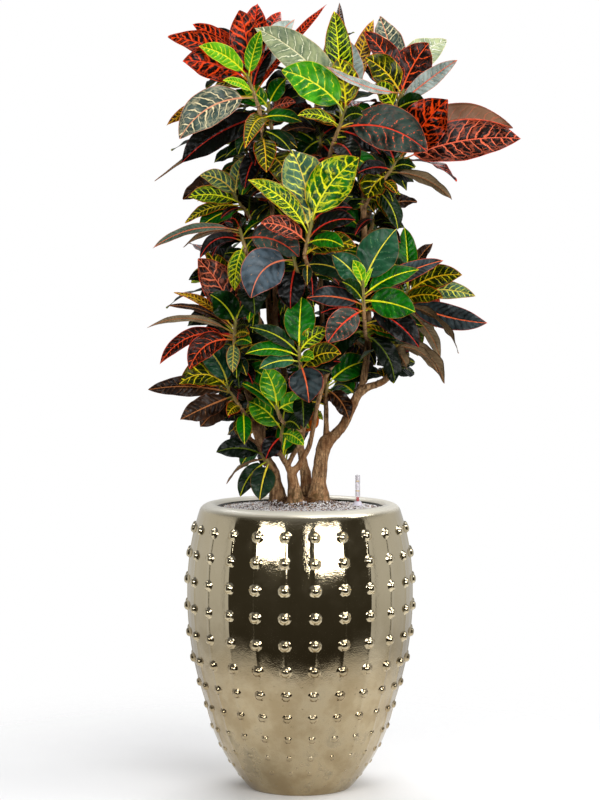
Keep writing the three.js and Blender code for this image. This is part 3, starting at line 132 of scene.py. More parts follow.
# Shoots. Foot and crown of the twig are given as seen, at one depth; "around" leaves are added by rule, about
# as long as "reach". Each leaf: its tip as seen, and how far behind the shoot; width, facing, arch and kind.
SHOOTS = {
    "shoot_top_left": {
        "foot": (-78, 1292), "crown": (-100, 1352), "deep": -15, "around": 2, "reach": 120,
        "leaves": (
            (-191, 1406, -62, 36, 0.8, 0.1, "lime"), (-74, 1436, -34, 29, 0.85, 0.05, "fresh"),
            (-115, 1474, 6, 66, 0.9, 0.05, "flame"), (-222, 1378, -40, 64, 0.85, 0.1, "flame"),
            (-250, 1424, 16, 52, 0.75, 0.12, "flame"), (-203, 1448, 36, 42, 0.8, 0.1, "flame"),
            (-80, 1487, 60, 50, 0.8, 0.08, "flame"), (-155, 1440, 66, 45, 0.8, 0.1, "night"),
            (-36, 1470, 84, 44, 0.7, 0.1, "flame"), (-10, 1457, 34, 50, 0.8, 0.1, "pale"),
            (-52, 1402, 8, 36, 0.7, 0.1, "night"), (-146, 1342, -50, 17, 0.7, 0.1, "lime"),
            (51, 1486, 30, 20, 0.6, 0.03, "flame"), (-253, 1257, 14, 30, 0.7, 0.1, "gold"),
            (-228, 1232, -48, 68, 0.9, 0.15, "silver"),
        ),
    },
    "shoot_upper_left": {
        "foot": (-52, 1238), "crown": (-60, 1298), "deep": 25, "around": 2, "reach": 120,
        "leaves": (
            (-26, 1346, -30, 34, 0.8, 0.08, "green"), (-114, 1332, -40, 31, 0.8, 0.1, "fresh"),
            (-8, 1300, -45, 25, 0.6, 0.1, "ember"), (-225, 1186, -24, 60, 0.75, 0.08, "night"),
            (-276, 1152, 6, 10, 0.6, 0.04, "dry"), (-117, 1203, -60, 40, 0.8, 0.12, "deep"),
            (-104, 1214, -90, 32, 0.7, 0.16, "olive"),
        ),
    },
    "shoot_top_centre": {
        "foot": (64, 1228), "crown": (88, 1290), "deep": -55, "around": 2, "reach": 120,
        "leaves": (
            (72, 1384, 8, 57, 0.9, 0.04, "citron"), (-35, 1361, -34, 70, 0.9, 0.1, "fresh"),
            (95, 1413, 78, 60, 0.9, 0.04, "pale"), (-86, 1441, 15, 70, 0.9, 0.1, "sage"),
            (50, 1420, 104, 37, 0.8, 0.05, "deep"), (65, 1472, 130, 51, 0.8, 0.06, "mosaic"),
            (139, 1457, 136, 36, 0.8, 0.03, "gold"), (74, 1488, 144, 24, 0.6, 0.1, "umber"),
            (-5, 1276, -40, 26, 0.6, 0.12, "mosaic"), (241, 1208, -64, 84, 0.9, 0.13, "slate"),
            (152, 1203, -25, 47, 0.6, 0.1, "night"),
        ),
    },
    "shoot_top_right": {
        "foot": (168, 1262), "crown": (195, 1322), "deep": 30, "around": 2, "reach": 120,
        "leaves": (
            (46, 1370, -150, 22, 0.6, -0.05, "pale"), (123, 1385, -40, 56, 0.85, 0.1, "olive"),
            (121, 1434, -22, 50, 0.75, 0.1, "cinder"), (243, 1412, 4, 72, 0.95, 0.06, "cinder"),
            (150, 1462, 46, 56, 0.85, 0.08, "silver"), (277, 1416, 66, 60, 0.85, 0.14, "sage"),
            (297, 1381, -30, 34, 0.85, 0.02, "pale"), (140, 1335, -62, 38, 0.8, 0.1, "mosaic"),
            (238, 1303, -48, 34, 0.8, 0.1, "deep"),
        ),
    },
    "shoot_right": {
        "foot": (152, 1148), "crown": (190, 1196), "deep": -25, "around": 1, "reach": 115,
        "leaves": (
            (279, 1307, -46, 84, 0.95, 0.04, "flame"), (418, 1233, -8, 76, 0.85, 0.07, "ember"),
            (130, 1258, 34, 38, 0.6, 0.1, "night"), (403, 1252, 50, 64, -0.8, 0.2, "tan"),
            (110, 1168, -40, 30, 0.7, 0.1, "night"), (288, 1117, -28, 24, -0.6, 0.12, "dry"),
            (128, 1120, -10, 52, 0.7, 0.12, "olive"),
        ),
    },
    "shoot_centre": {
        "foot": (8, 1012), "crown": (22, 1075), "deep": -125, "around": 1, "reach": 105,
        "leaves": (
            (112, 1197, -8, 78, 0.9, 0.1, "splash"), (-17, 1212, 40, 80, 0.9, 0.1, "jade"),
            (-40, 1148, 4, 46, 0.85, 0.1, "jade"), (-99, 1155, 4, 37, 0.8, 0.12, "splash"),
            (105, 1079, -34, 42, 0.6, 0.15, "night"), (-75, 1073, -28, 40, 0.65, 0.12, "ember"),
        ),
    },
    "shoot_centre_left": {
        "foot": (0, 962), "crown": (-12, 1006), "deep": -82, "around": 1, "reach": 90,
        "leaves": (
            (-93, 931, -40, 78, 0.9, 0.22, "steel"), (-18, 911, -26, 50, 0.8, 0.12, "night"),
        ),
    },
    "shoot_left": {
        "foot": (-100, 1010), "crown": (-114, 1062), "deep": -45, "around": 2, "reach": 110,
        "leaves": (
            (-280, 1025, -10, 21, 0.6, 0.12, "ash"), (-222, 1027, 22, 12, 0.6, 0.14, "dry"),
            (-166, 1010, 44, 22, 0.6, 0.2, "night"), (-2, 1008, -22, 66, 0.8, 0.15, "slate"),
            (-190, 1007, -32, 25, 0.7, 0.24, "night"), (-124, 946, -28, 31, 0.8, 0.1, "splash"),
        ),
    },
    "shoot_left_high": {
        "foot": (-92, 1080), "crown": (-124, 1128), "deep": 40, "around": 2, "reach": 115,
        "leaves": (
            (-104, 1200, 14, 30, 0.8, 0.08, "jade"), (-190, 1164, -8, 36, 0.75, 0.15, "jade"),
            (-221, 1117, 24, 49, 0.7, 0.26, "umber"), (-212, 1122, -10, 38, 0.7, 0.1, "mosaic"),
            (-218, 1073, -6, 25, 0.6, 0.12, "olive"), (-150, 1082, -60, 15, 0.4, 0.1, "night"),
        ),
    },
    "shoot_left_low": {
        "foot": (-126, 832), "crown": (-122, 890), "deep": -40, "around": 1, "reach": 105,
        "leaves": (
            (-97, 930, 10, 38, 0.8, 0.08, "deep"), (-170, 938, -28, 52, 0.8, 0.1, "deep"),
            (-194, 1006, 8, 66, 0.85, 0.08, "ember"), (-178, 1022, 56, 47, 0.7, 0.1, "olive"),
            (-240, 942, 34, 18, 0.6, 0.1, "gold"), (-253, 916, 10, 15, 0.6, 0.12, "umber"),
            (-291, 875, -22, 14, 0.6, 0.14, "dry"), (-190, 836, 56, 47, 0.7, 0.15, "night"),
            (-267, 805, -10, 30, 0.7, 0.2, "cinder"), (-210, 796, -38, 46, 0.7, 0.2, "cinder"),
            (-128, 790, -34, 24, 0.6, 0.1, "jade"),
        ),
    },
    "shoot_front_right": {
        "foot": (122, 890), "crown": (119, 962), "deep": -100, "around": 0, "reach": 90,
        "leaves": (
            (100, 1003, -14, 22, 0.8, 0.08, "lime"), (182, 1062, 20, 74, 0.9, 0.06, "teal"),
            (60, 1014, -12, 48, 0.8, 0.08, "teal"), (138, 988, 0, 11, 0.7, 0.08, "lime"),
            (-8, 990, 18, 45, 0.7, 0.18, "dusk"), (225, 985, 28, 38, 0.7, 0.08, "green"),
            (272, 1003, 62, 34, 0.8, 0.05, "ink"), (219, 905, -34, 56, 0.9, 0.06, "green"),
            (80, 962, -42, 32, 0.6, 0.1, "deep"), (13, 932, -12, 38, 0.75, 0.08, "ink"),
            (226, 838, -20, 50, 0.8, 0.1, "night"), (52, 845, -50, 52, 0.9, 0.08, "slate"),
            (40, 903, -12, 30, 0.6, 0.12, "night"),
        ),
    },
    "shoot_right_back": {
        "foot": (176, 900), "crown": (206, 948), "deep": 55, "around": 1, "reach": 110,
        "leaves": (
            (198, 1066, 16, 38, 0.85, 0.06, "green"), (252, 1036, 12, 30, 0.6, 0.1, "umber"),
            (308, 975, -30, 46, 0.85, 0.12, "olive"), (333, 935, -8, 36, 0.85, 0.1, "jade"),
            (356, 884, -34, 48, 0.9, -0.05, "ink"), (272, 932, -60, 34, 0.7, 0.1, "olive"),
            (302, 826, -62, 30, -0.4, 0.16, "dry"), (267, 814, -24, 26, 0.7, 0.12, "dry"),
        ),
    },
    "shoot_right_low": {
        "foot": (178, 812), "crown": (172, 850), "deep": -15, "around": 2, "reach": 85,
        "leaves": (
            (187, 872, 6, 10, 0.6, 0.05, "lime"), (275, 769, -12, 32, -0.6, 0.2, "dry"),
            (262, 790, -42, 21, -0.5, 0.18, "dry"), (203, 797, -36, 32, -0.6, 0.15, "dry"),
        ),
    },
    "shoot_front_middle": {
        "foot": (2, 790), "crown": (-2, 836), "deep": -115, "around": 1, "reach": 80,
        "leaves": (
            (3, 935, 10, 57, 0.9, 0.06, "green"), (54, 872, -4, 34, 0.8, 0.1, "mosaic"),
            (-95, 876, -8, 30, 0.7, 0.1, "deep"), (-104, 825, -32, 32, 0.6, 0.12, "green"),
            (25, 815, -42, 27, 0.5, 0.1, "fresh"), (-77, 797, -30, 32, 0.6, 0.1, "teal"),
            (17, 733, -42, 62, 0.9, 0.1, "ink"),
        ),
    },
    "shoot_front_low": {
        "foot": (-36, 700), "crown": (-45, 724), "deep": -98, "around": 1, "reach": 70,
        "leaves": (
            (-68, 798, 8, 48, 0.9, 0.08, "fresh"), (13, 735, -12, 38, 0.8, 0.1, "fresh"),
            (-40, 762, 40, 23, 0.7, 0.1, "green"), (-118, 772, 44, 21, 0.7, 0.1, "green"),
        ),
    },
    "shoot_green_low": {
        "foot": (-38, 652), "crown": (-33, 686), "deep": -70, "around": 1, "reach": 70,
        "leaves": (
            (-22, 737, 12, 40, 0.8, 0.08, "deep"), (-98, 735, 50, 53, 0.9, 0.1, "fresh"),
            (8, 651, -58, 24, 0.85, 0.1, "fresh"), (-65, 625, -26, 36, 0.8, 0.1, "night"),
        ),
    },
    "shoot_left_lower": {
        "foot": (-110, 718), "crown": (-138, 764), "deep": -25, "around": 2, "reach": 95,
        "leaves": (
            (-193, 850, -8, 50, 0.9, 0.1, "teal"), (-230, 768, -6, 55, 0.6, 0.25, "olive"),
            (-289, 757, -40, 38, 0.8, 0.06, "umber"), (-228, 700, -44, 44, 0.75, 0.02, "umber"),
            (-190, 686, -6, 44, -0.8, 0.06, "umber"),
        ),
    },
    "shoot_lowest_left": {
        "foot": (-52, 606), "crown": (-70, 634), "deep": -50, "around": 1, "reach": 60,
        "leaves": (
            (-160, 638, -12, 40, 0.7, 0.12, "shade"), (-150, 652, 24, 15, 0.5, 0.1, "umber"),
            (-140, 577, 10, 10, 0.4, 0.15, "dry"), (-114, 553, -24, 31, 0.8, 0.12, "deep"),
            (-77, 547, -30, 46, 0.9, 0.08, "dusk"),
        ),
    },
    "shoot_middle": {
        "foot": (49, 742), "crown": (52, 768), "deep": 12, "around": 1, "reach": 70,
        "leaves": (
            (134, 812, 12, 50, 0.85, 0.1, "green"), (160, 786, 60, 40, 0.6, 0.1, "deep"),
            (93, 700, -26, 34, 0.7, 0.12, "umber"), (69, 727, -8, 19, 0.7, 0.12, "umber"),
        ),
    },
    "shoot_behind_centre": {
        "foot": (38, 1196), "crown": (40, 1246), "deep": 62, "around": 2, "reach": 110,
        "leaves": (
            (-36, 1240, -30, 32, 0.5, 0.15, "umber"), (100, 1262, 10, 37, 0.6, 0.1, "night"),
            (0, 1192, -24, 38, 0.6, 0.12, "deep"), (68, 1172, -30, 38, 0.6, 0.12, "night"),
        ),
    },
    "shoot_right_middle": {
        "foot": (130, 1052), "crown": (148, 1096), "deep": 42, "around": 1, "reach": 100,
        "leaves": (
            (222, 1113, 4, 32, 0.6, 0.12, "umber"), (100, 1128, -10, 32, 0.6, 0.1, "olive"),
            (104, 1050, -40, 15, 0.5, 0.1, "night"), (164, 1080, -30, 28, 0.7, 0.1, "shade"),
        ),
    },
    "shoot_back_left_high": {
        "foot": (-96, 1196), "crown": (-120, 1244), "deep": 128, "around": 6, "reach": 135,
        "leaves": (),
    },
    "shoot_back_high": {
        "foot": (30, 1290), "crown": (36, 1342), "deep": 118, "around": 6, "reach": 135,
        "leaves": (),
    },
    "shoot_back_right_high": {
        "foot": (176, 1176), "crown": (206, 1216), "deep": 140, "around": 6, "reach": 130,
        "leaves": (),
    },
    "shoot_back_middle": {
        "foot": (-14, 1040), "crown": (-20, 1088), "deep": 140, "around": 6, "reach": 130,
        "leaves": (),
    },
    "shoot_back_left": {
        "foot": (-128, 930), "crown": (-150, 972), "deep": 120, "around": 5, "reach": 120,
        "leaves": (),
    },
    "shoot_back_right": {
        "foot": (86, 884), "crown": (92, 932), "deep": 130, "around": 5, "reach": 125,
        "leaves": (),
    },
    "shoot_back_low": {
        "foot": (-34, 770), "crown": (-40, 812), "deep": 110, "around": 5, "reach": 105,
        "leaves": (),
    },
}

# Rooted stems and their branches: places as seen, with depth and radius, and the shoot at the end.
STEMS = {
    "stem_right": (
        (((35, 505, 26, 19), (35, 548, 26, 18.5), (36, 580, 27, 14.5), (40, 622, 28, 14),
          (48, 654, 28, 14), (65, 670, 26, 11), (83, 691, 22, 9.8), (98, 722, 18, 9),
          (109, 746, 14, 8.5), (126, 761, 8, 7.5), (150, 769, 0, 6.4), (166, 780, -6, 5.8),
          (174, 796, -11, 5.4)), "shoot_right_low"),
        (((46, 648, 28, 8), (49, 668, 31, 6), (50, 700, 34, 5.2), (49, 745, 38, 5), (46, 800, 36, 5.4),
          (44, 850, 32, 5.2), (40, 924, 30, 5), (39, 1000, 34, 5), (38, 1090, 44, 4.8),
          (37, 1150, 54, 4.6)), "shoot_behind_centre"),
        (((41, 912, 30, 3.6), (30, 956, -50, 4.4), (16, 990, -104, 4.2)), "shoot_centre"),
        (((31, 953, -46, 3.2), (18, 954, -66, 3.4)), "shoot_centre_left"),
        (((38, 1132, 48, 3.6), (56, 1200, -34, 4)), "shoot_top_centre"),
        (((38, 1132, 50, 3.6), (29, 1240, 108, 4)), "shoot_back_high"),
        (((49, 720, 35, 3), (49, 730, 20, 3.2)), "shoot_middle"),
        (((108, 744, 14, 6.6), (121, 780, 26, 6.6), (129, 850, 28, 6.6), (129, 900, 26, 6.4),
          (122, 1040, 20, 6), (120, 1100, 18, 6), (121, 1132, 18, 6.6), (115, 1158, 18, 5)), None),
        (((121, 1128, 18, 5), (131, 1160, 18, 4.8)), None),
        (((120, 1100, 18, 4.2), (134, 1126, -2, 4.4)), "shoot_right"),
        (((121, 1124, 19, 4.2), (122, 1166, 42, 4.2), (146, 1226, 38, 4.2)), "shoot_top_right"),
        (((129, 852, 27, 4.6), (124, 864, -60, 4.2)), "shoot_front_right"),
        (((129, 862, 28, 4.4), (154, 880, 50, 4)), "shoot_right_back"),
        (((125, 990, 23, 4), (127, 1026, 32, 3.8)), "shoot_right_middle"),
        (((122, 1068, 20, 4), (135, 1098, 84, 4), (160, 1146, 128, 4)), "shoot_back_right_high"),
        (((128, 830, 28, 4.2), (94, 862, 112, 4)), "shoot_back_right"),
    ),
    "stem_middle": (
        (((-9, 505, 4, 13.5), (-9, 548, 4, 13), (-12, 575, 3, 11), (-15, 598, 2, 9.4), (-4, 610, 0, 6.6),
          (4, 624, -3, 5.6), (18, 652, -8, 5), (26, 690, -12, 5), (32, 725, -14, 4.8),
          (41, 758, -14, 4.8), (50, 786, -13, 5.4), (64, 810, -12, 5.8), (83, 834, -10, 5.8)), None),
        (((-17, 594, 2, 6.6), (-24, 612, 0, 5.6), (-34, 628, -16, 5), (-40, 640, -44, 4.6)),
         "shoot_green_low"),
        (((-24, 610, 0, 4.4), (-14, 632, -10, 4.6), (-2, 650, -26, 4.5), (6, 676, -48, 4.4),
          (8, 700, -68, 4.3), (5, 726, -86, 4.2), (2, 764, -108, 4.2)), "shoot_front_middle"),
        (((6, 678, -50, 3.2), (-12, 680, -74, 3.6), (-26, 690, -92, 3.4)), "shoot_front_low"),
    ),
    "stem_back": (
        (((14, 505, 55, 13), (14, 548, 55, 12.5), (12, 585, 56, 11.4), (7, 615, 58, 9), (-2, 660, 62, 7),
          (-14, 720, 64, 6), (-32, 800, 62, 6), (-46, 880, 56, 5.6), (-47, 950, 52, 5.4),
          (-50, 1040, 48, 5.2), (-54, 1130, 42, 5), (-54, 1200, 32, 4.8)), "shoot_upper_left"),
        (((-33, 806, 62, 5), (-54, 860, 64, 6), (-60, 930, 62, 6), (-66, 1000, 56, 5.2),
          (-78, 1050, 46, 4.6)), "shoot_left_high"),
        (((-54, 1124, 42, 3.6), (-66, 1190, 20, 4.2), (-72, 1250, -6, 4.2)), "shoot_top_left"),
        (((-53, 1104, 44, 3.6), (-76, 1150, 96, 4), (-88, 1176, 120, 4)), "shoot_back_left_high"),
        (((-47, 940, 54, 3.6), (-30, 980, 106, 4), (-18, 1012, 132, 4)), "shoot_back_middle"),
        (((-8, 690, 64, 4), (-24, 728, 92, 4), (-32, 750, 106, 4)), "shoot_back_low"),
    ),
    "stem_left": (
        (((-42, 505, 34, 14.5), (-42, 548, 34, 14), (-50, 600, 32, 10.5), (-61, 622, 30, 9),
          (-74, 650, 22, 7.8), (-88, 684, 8, 6.6), (-102, 706, -12, 5.6)), "shoot_left_lower"),
        (((-74, 648, 24, 6), (-80, 680, 24, 6.2), (-94, 734, 18, 6), (-104, 762, 10, 5.6),
          (-112, 782, 0, 5.4), (-121, 808, -22, 5)), "shoot_left_low"),
        (((-66, 630, 28, 5), (-70, 668, 34, 5.2), (-71, 720, 30, 5), (-72, 770, 20, 5),
          (-69, 816, 10, 4.8), (-68, 854, 0, 4.7), (-78, 892, -10, 4.6), (-91, 930, -20, 4.5),
          (-98, 972, -34, 4.4)), "shoot_left"),
        (((-66, 640, 26, 4.4), (-84, 655, -2, 4), (-103, 673, -26, 4.2)), None),
        (((-52, 600, 28, 4.2), (-50, 602, -4, 4), (-48, 602, -32, 3.8)), "shoot_lowest_left"),
        (((-98, 744, 18, 4), (-116, 830, 76, 4.2), (-124, 900, 110, 4)), "shoot_back_left"),
    ),
}

# Leaf kinds: the screen colours, out of 255, of the blade, its patches, the side veins, the midrib, the
# margin and the underside; then its habit: half width of a side vein as a share of the vein spacing,
# strength of the net between them, and how broken both are.
COLOURED = ("ground", "patch", "vein", "rib", "rim", "under")
KINDS = {
    "flame": ((14, 7, 5), (40, 12, 6), (250, 84, 28), (248, 76, 30),
              (246, 84, 34), (110, 46, 30), (0.14, 0.5, 0.14)),
    "ember": ((26, 13, 8), (58, 30, 16), (216, 122, 92), (230, 118, 92),
              (232, 88, 58), (120, 64, 40), (0.07, 0.3, 0.24)),
    "cinder": ((22, 13, 8), (46, 27, 16), (204, 92, 40), (222, 96, 58),
               (206, 78, 42), (74, 42, 30), (0.04, 0.08, 0.46)),
    "lime": ((84, 150, 26), (120, 176, 40), (214, 222, 66), (236, 230, 60),
             (218, 216, 90), (126, 158, 66), (0.06, 0.1, 0.4)),
    "fresh": ((34, 108, 22), (84, 154, 44), (206, 214, 62), (238, 228, 58),
              (196, 186, 60), (104, 142, 54), (0.045, 0.06, 0.44)),
    "citron": ((42, 54, 10), (92, 100, 18), (216, 206, 40), (236, 196, 48),
               (220, 120, 48), (108, 102, 34), (0.1, 0.35, 0.24)),
    "green": ((10, 74, 12), (34, 116, 26), (120, 150, 44), (222, 204, 46),
              (150, 110, 44), (66, 92, 36), (0.03, 0.0, 0.6)),
    "deep": ((6, 36, 8), (18, 64, 18), (80, 112, 42), (170, 172, 50),
             (90, 84, 38), (44, 60, 28), (0.028, 0.0, 0.66)),
    "shade": ((9, 26, 8), (16, 38, 12), (40, 58, 20), (96, 108, 36),
              (40, 40, 20), (26, 34, 18), (0.03, 0.0, 0.6)),
    "mosaic": ((12, 44, 14), (34, 82, 20), (186, 200, 46), (238, 206, 54),
               (220, 132, 46), (96, 118, 44), (0.09, 0.35, 0.26)),
    "splash": ((12, 64, 18), (52, 120, 26), (232, 226, 40), (244, 216, 60),
               (240, 152, 48), (112, 142, 52), (0.078, 0.45, 0.26)),
    # teal: its blue-grey cast is painted sheen on a green blade.
    "teal": ((34, 78, 54), (58, 104, 78), (112, 140, 100), (204, 196, 84),
             (150, 110, 62), (84, 96, 72), (0.03, 0.0, 0.56)),
    "jade": ((56, 84, 72), (96, 126, 102), (208, 204, 96), (240, 186, 104),
             (226, 150, 92), (112, 120, 84), (0.07, 0.25, 0.28)),
    "night": ((8, 11, 8), (18, 25, 17), (118, 44, 30), (176, 60, 42),
              (104, 40, 30), (50, 32, 25), (0.028, 0.0, 0.68)),
    # slate: its pale grey-green patches are painted sheen.
    "slate": ((36, 46, 42), (84, 100, 92), (224, 112, 78), (228, 86, 60),
              (204, 112, 84), (70, 48, 40), (0.045, 0.05, 0.54)),
    # steel: its pale blue-grey ground is painted sheen, its dark patches the unlit part.
    "steel": ((96, 108, 116), (48, 57, 62), (140, 124, 108), (226, 128, 100),
              (204, 120, 96), (88, 80, 74), (0.03, 0.0, 0.62)),
    # ink: its blue-grey ground is painted sheen on a near-black blade.
    "ink": ((70, 80, 82), (17, 20, 20), (108, 62, 44), (214, 112, 74),
            (176, 84, 58), (58, 54, 52), (0.025, 0.0, 0.74)),
    "dusk": ((42, 66, 46), (28, 44, 32), (98, 108, 70), (210, 180, 72),
             (120, 92, 52), (66, 68, 46), (0.03, 0.0, 0.6)),
    # silver: its grey-green ground is painted sheen.
    "silver": ((100, 114, 106), (58, 74, 70), (244, 200, 168), (244, 160, 132),
               (238, 152, 128), (126, 110, 94), (0.075, 0.3, 0.2)),
    # sage: its pale grey-green ground is painted sheen.
    "sage": ((164, 170, 138), (112, 126, 104), (244, 216, 186), (252, 206, 174),
             (240, 186, 152), (146, 140, 114), (0.045, 0.1, 0.42)),
    "ash": ((104, 118, 104), (68, 80, 68), (150, 118, 92), (196, 122, 92),
            (176, 112, 84), (118, 104, 88), (0.04, 0.0, 0.6)),
    # pale: its light grey ground is painted sheen.
    "pale": ((166, 176, 172), (120, 130, 124), (206, 190, 172), (226, 122, 96),
             (214, 146, 122), (160, 156, 142), (0.04, 0.0, 0.5)),
    "olive": ((30, 44, 8), (60, 76, 14), (194, 184, 42), (224, 176, 50),
              (204, 104, 44), (92, 92, 34), (0.055, 0.15, 0.36)),
    "umber": ((32, 21, 15), (68, 50, 36), (120, 88, 58), (158, 112, 74),
              (112, 74, 52), (76, 56, 40), (0.04, 0.0, 0.5)),
    "gold": ((56, 38, 12), (96, 66, 18), (238, 166, 40), (240, 176, 60),
             (222, 100, 44), (126, 86, 44), (0.11, 0.6, 0.2)),
    "tan": ((140, 108, 80), (98, 74, 58), (170, 108, 84), (206, 108, 80),
            (190, 88, 68), (132, 104, 84), (0.05, 0.0, 0.36)),
    "rust": ((150, 82, 26), (190, 116, 44), (104, 56, 24), (120, 70, 32),
             (90, 50, 24), (140, 84, 34), (0.05, 0.0, 0.4)),
    "dry": ((106, 94, 74), (142, 128, 104), (84, 68, 50), (156, 112, 78),
            (88, 64, 46), (130, 114, 92), (0.04, 0.0, 0.4)),
}
CRINKLED = ("umber", "tan", "rust", "dry")      # kinds whose margins wave more
CRINKLE = 1.7
LEAF_LIGHT = 1.85                   # brightens every colour of a leaf
LEAF_CONTRAST = 1.4                 # deepens the dark colours of a leaf against the bright ones
VEIN_SLANT = 0.58                   # a side vein runs this much forward for each step outward
VEIN_SWEEP = 0.28                   # and turns further forward towards the margin
STALK_GREEN = (150, 160, 50)
# A dried leaf caught between the stems: the shoot whose piece holds it, its two ends as seen, its width.
DRIED_LEAF = {"shoot": "shoot_middle", "root": (40, 716, 22), "tip": (8, 674, 18), "width": 36}

BLADE_STEPS = 24                    # faces along a blade
ACROSS = (0.04, 0.12, 0.26, 0.45, 0.66, 0.85)      # places from the midrib to the margin
FILLING_STEPS = 13                  # the same for the small filling leaves, with fewer faces
FILLING_ACROSS = (0.1, 0.42, 0.8)
BLADE_HALF_THICKNESS = 0.42
RIB_RELIEF = 1.3                    # how far the midrib stands out below the blade
TWIG_RADII = (3.9, 3.2, 1.6)        # at its foot, where its bud begins and at the bud's tip
TWIG_SIDES = 12
TWIG_STEPS = 22
BUD = 5
BARK_GRAIN = 1.9                    # the fineness of a stem's mesh
FLARE_TOP = 585                     # below this a stem swells towards the gravel
FLARE_HEIGHT = 40
JOIN_RADIUS = 4.1                   # of a branch where it meets its twig


# ---------------------------------------------------------------- small tools
def seen(x, z, depth):
    """The place of a spot seen at (x, z) from the front that lies `depth` behind the pot's axis."""
    grow = 1 + depth / EYE_DISTANCE
    return Vector((x * grow, depth, EYE_HEIGHT + (z - EYE_HEIGHT) * grow))


def square_to(direction, axis):
    """The way nearest to a direction that is square to an axis."""
    return (direction - axis * direction.dot(axis)).normalized()


def linear(colour):
    """A screen colour out of 255 as the light that it stands for."""
    shares = [c / 255 for c in colour]
    return [s / 12.92 if s <= 0.04045 else ((s + 0.055) / 1.055) ** 2.4 for s in shares] + [1.0]


def piece(name, vertices, faces, materials, smooth=True):
    """A mesh object from places in millimetres."""
    mesh = bpy.data.meshes.new(name)
    mesh.from_pydata([tuple(MM * c for c in v) for v in vertices], [], faces)
    for material in materials:
        mesh.materials.append(material)
    if smooth:
        mesh.shade_smooth()
    else:
        mesh.shade_flat()
    made = bpy.data.objects.new(name, mesh)
    bpy.context.scene.collection.objects.link(made)
    return made


def stands_for(made, slot, *nodes):
    """The piece rides on the plant and replaces the solids; the slot is not used."""
    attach(made, "root")
    if nodes:
        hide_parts(*nodes)


def bands(rows, sides, first=0):
    """The faces between rows of `sides` vertices that each run right round."""
    return [(first + r * sides + k, first + r * sides + (k + 1) % sides,
             first + (r + 1) * sides + (k + 1) % sides, first + (r + 1) * sides + k)
            for r in range(rows - 1) for k in range(sides)]


def lid(first, sides):
    """The face that closes a row of vertices from above."""
    return tuple(range(first, first + sides))


def spike(first, sides, tip):
    """The faces that close a row of vertices to one point."""
    return [(first + k, first + (k + 1) % sides, tip) for k in range(sides)]


def turned(profile, sides):
    """Vertices and faces of a profile of (radius, height) turned about the upright axis."""
    turns = [math.tau * k / sides for k in range(sides)]
    vertices = [(radius * math.sin(turn), -radius * math.cos(turn), height)
                for radius, height in profile for turn in turns]
    return vertices, bands(len(profile), sides)


VECTORS = {"data_type": "FLOAT_VECTOR"}
STORED_FIELD = {"FLOAT": ("value", 1), "FLOAT_VECTOR": ("vector", 3), "FLOAT_COLOR": ("color", 4)}


def bare(name, vertices, edges, values):
    """An object of points or lines, in metres, with values stored at its points for a tree to read."""
    mesh = bpy.data.meshes.new(name)
    mesh.from_pydata(vertices, edges, [])
    for stored_name, (kind, numbers) in values.items():
        attribute = mesh.attributes.new(stored_name, kind, "POINT")
        attribute.data.foreach_set(STORED_FIELD[kind][0], np.ravel(numbers))
    made = bpy.data.objects.new(name, mesh)
    bpy.context.scene.collection.objects.link(made)
    return made


def grow(made, tree, **settings):
    """Runs a Geometry Nodes tree, with its inputs set by name, and works the result into the mesh."""
    modifier = made.modifiers.new("grown", "NODES")
    modifier.node_group = tree
    ports = {item.name: item.identifier for item in tree.interface.items_tree if item.in_out == "INPUT"}
    for name, value in settings.items():
        modifier[ports[name]] = value
    return settled(made)


def settled(made):
    """The object with its modifiers worked into a plain mesh."""
    bpy.context.view_layer.update()
    evaluated = made.evaluated_get(bpy.context.evaluated_depsgraph_get())
    mesh = bpy.data.meshes.new_from_object(evaluated)
    old = made.data
    made.modifiers.clear()
    made.data = mesh
    bpy.data.meshes.remove(old)
    return made


def geometry_tree(name, **inputs):
    """A Geometry Nodes tree with further inputs of (kind, value); returns it with what comes in."""
    tree = bpy.data.node_groups.new(name, "GeometryNodeTree")
    tree.interface.new_socket("Geometry", in_out="INPUT", socket_type="NodeSocketGeometry")
    tree.interface.new_socket("Geometry", in_out="OUTPUT", socket_type="NodeSocketGeometry")
    for label, (kind, value) in inputs.items():
        socket = tree.interface.new_socket(label, in_out="INPUT", socket_type="NodeSocket" + kind)
        if value is not None:
            socket.default_value = value
    return tree, tree.nodes.new("NodeGroupInput").outputs


def added(tree, kind, settings=(), **inputs):
    """A node of a tree with its settings and inputs, each a value or another node's output."""
    node = tree.nodes.new(kind)
    for key, value in dict(settings).items():
        setattr(node, key, value)
    for name, value in inputs.items():
        feed(tree, node.inputs[name.replace("_", " ")], value)
    return node.outputs


def put_out(tree, geometry, material):
    """Makes a tree's copies real, gives them their material and puts them out."""
    real = added(tree, "GeometryNodeRealizeInstances", Geometry=geometry)["Geometry"]
    painted = added(tree, "GeometryNodeSetMaterial", Geometry=real, Material=material)["Geometry"]
    added(tree, "NodeGroupOutput", Geometry=painted)


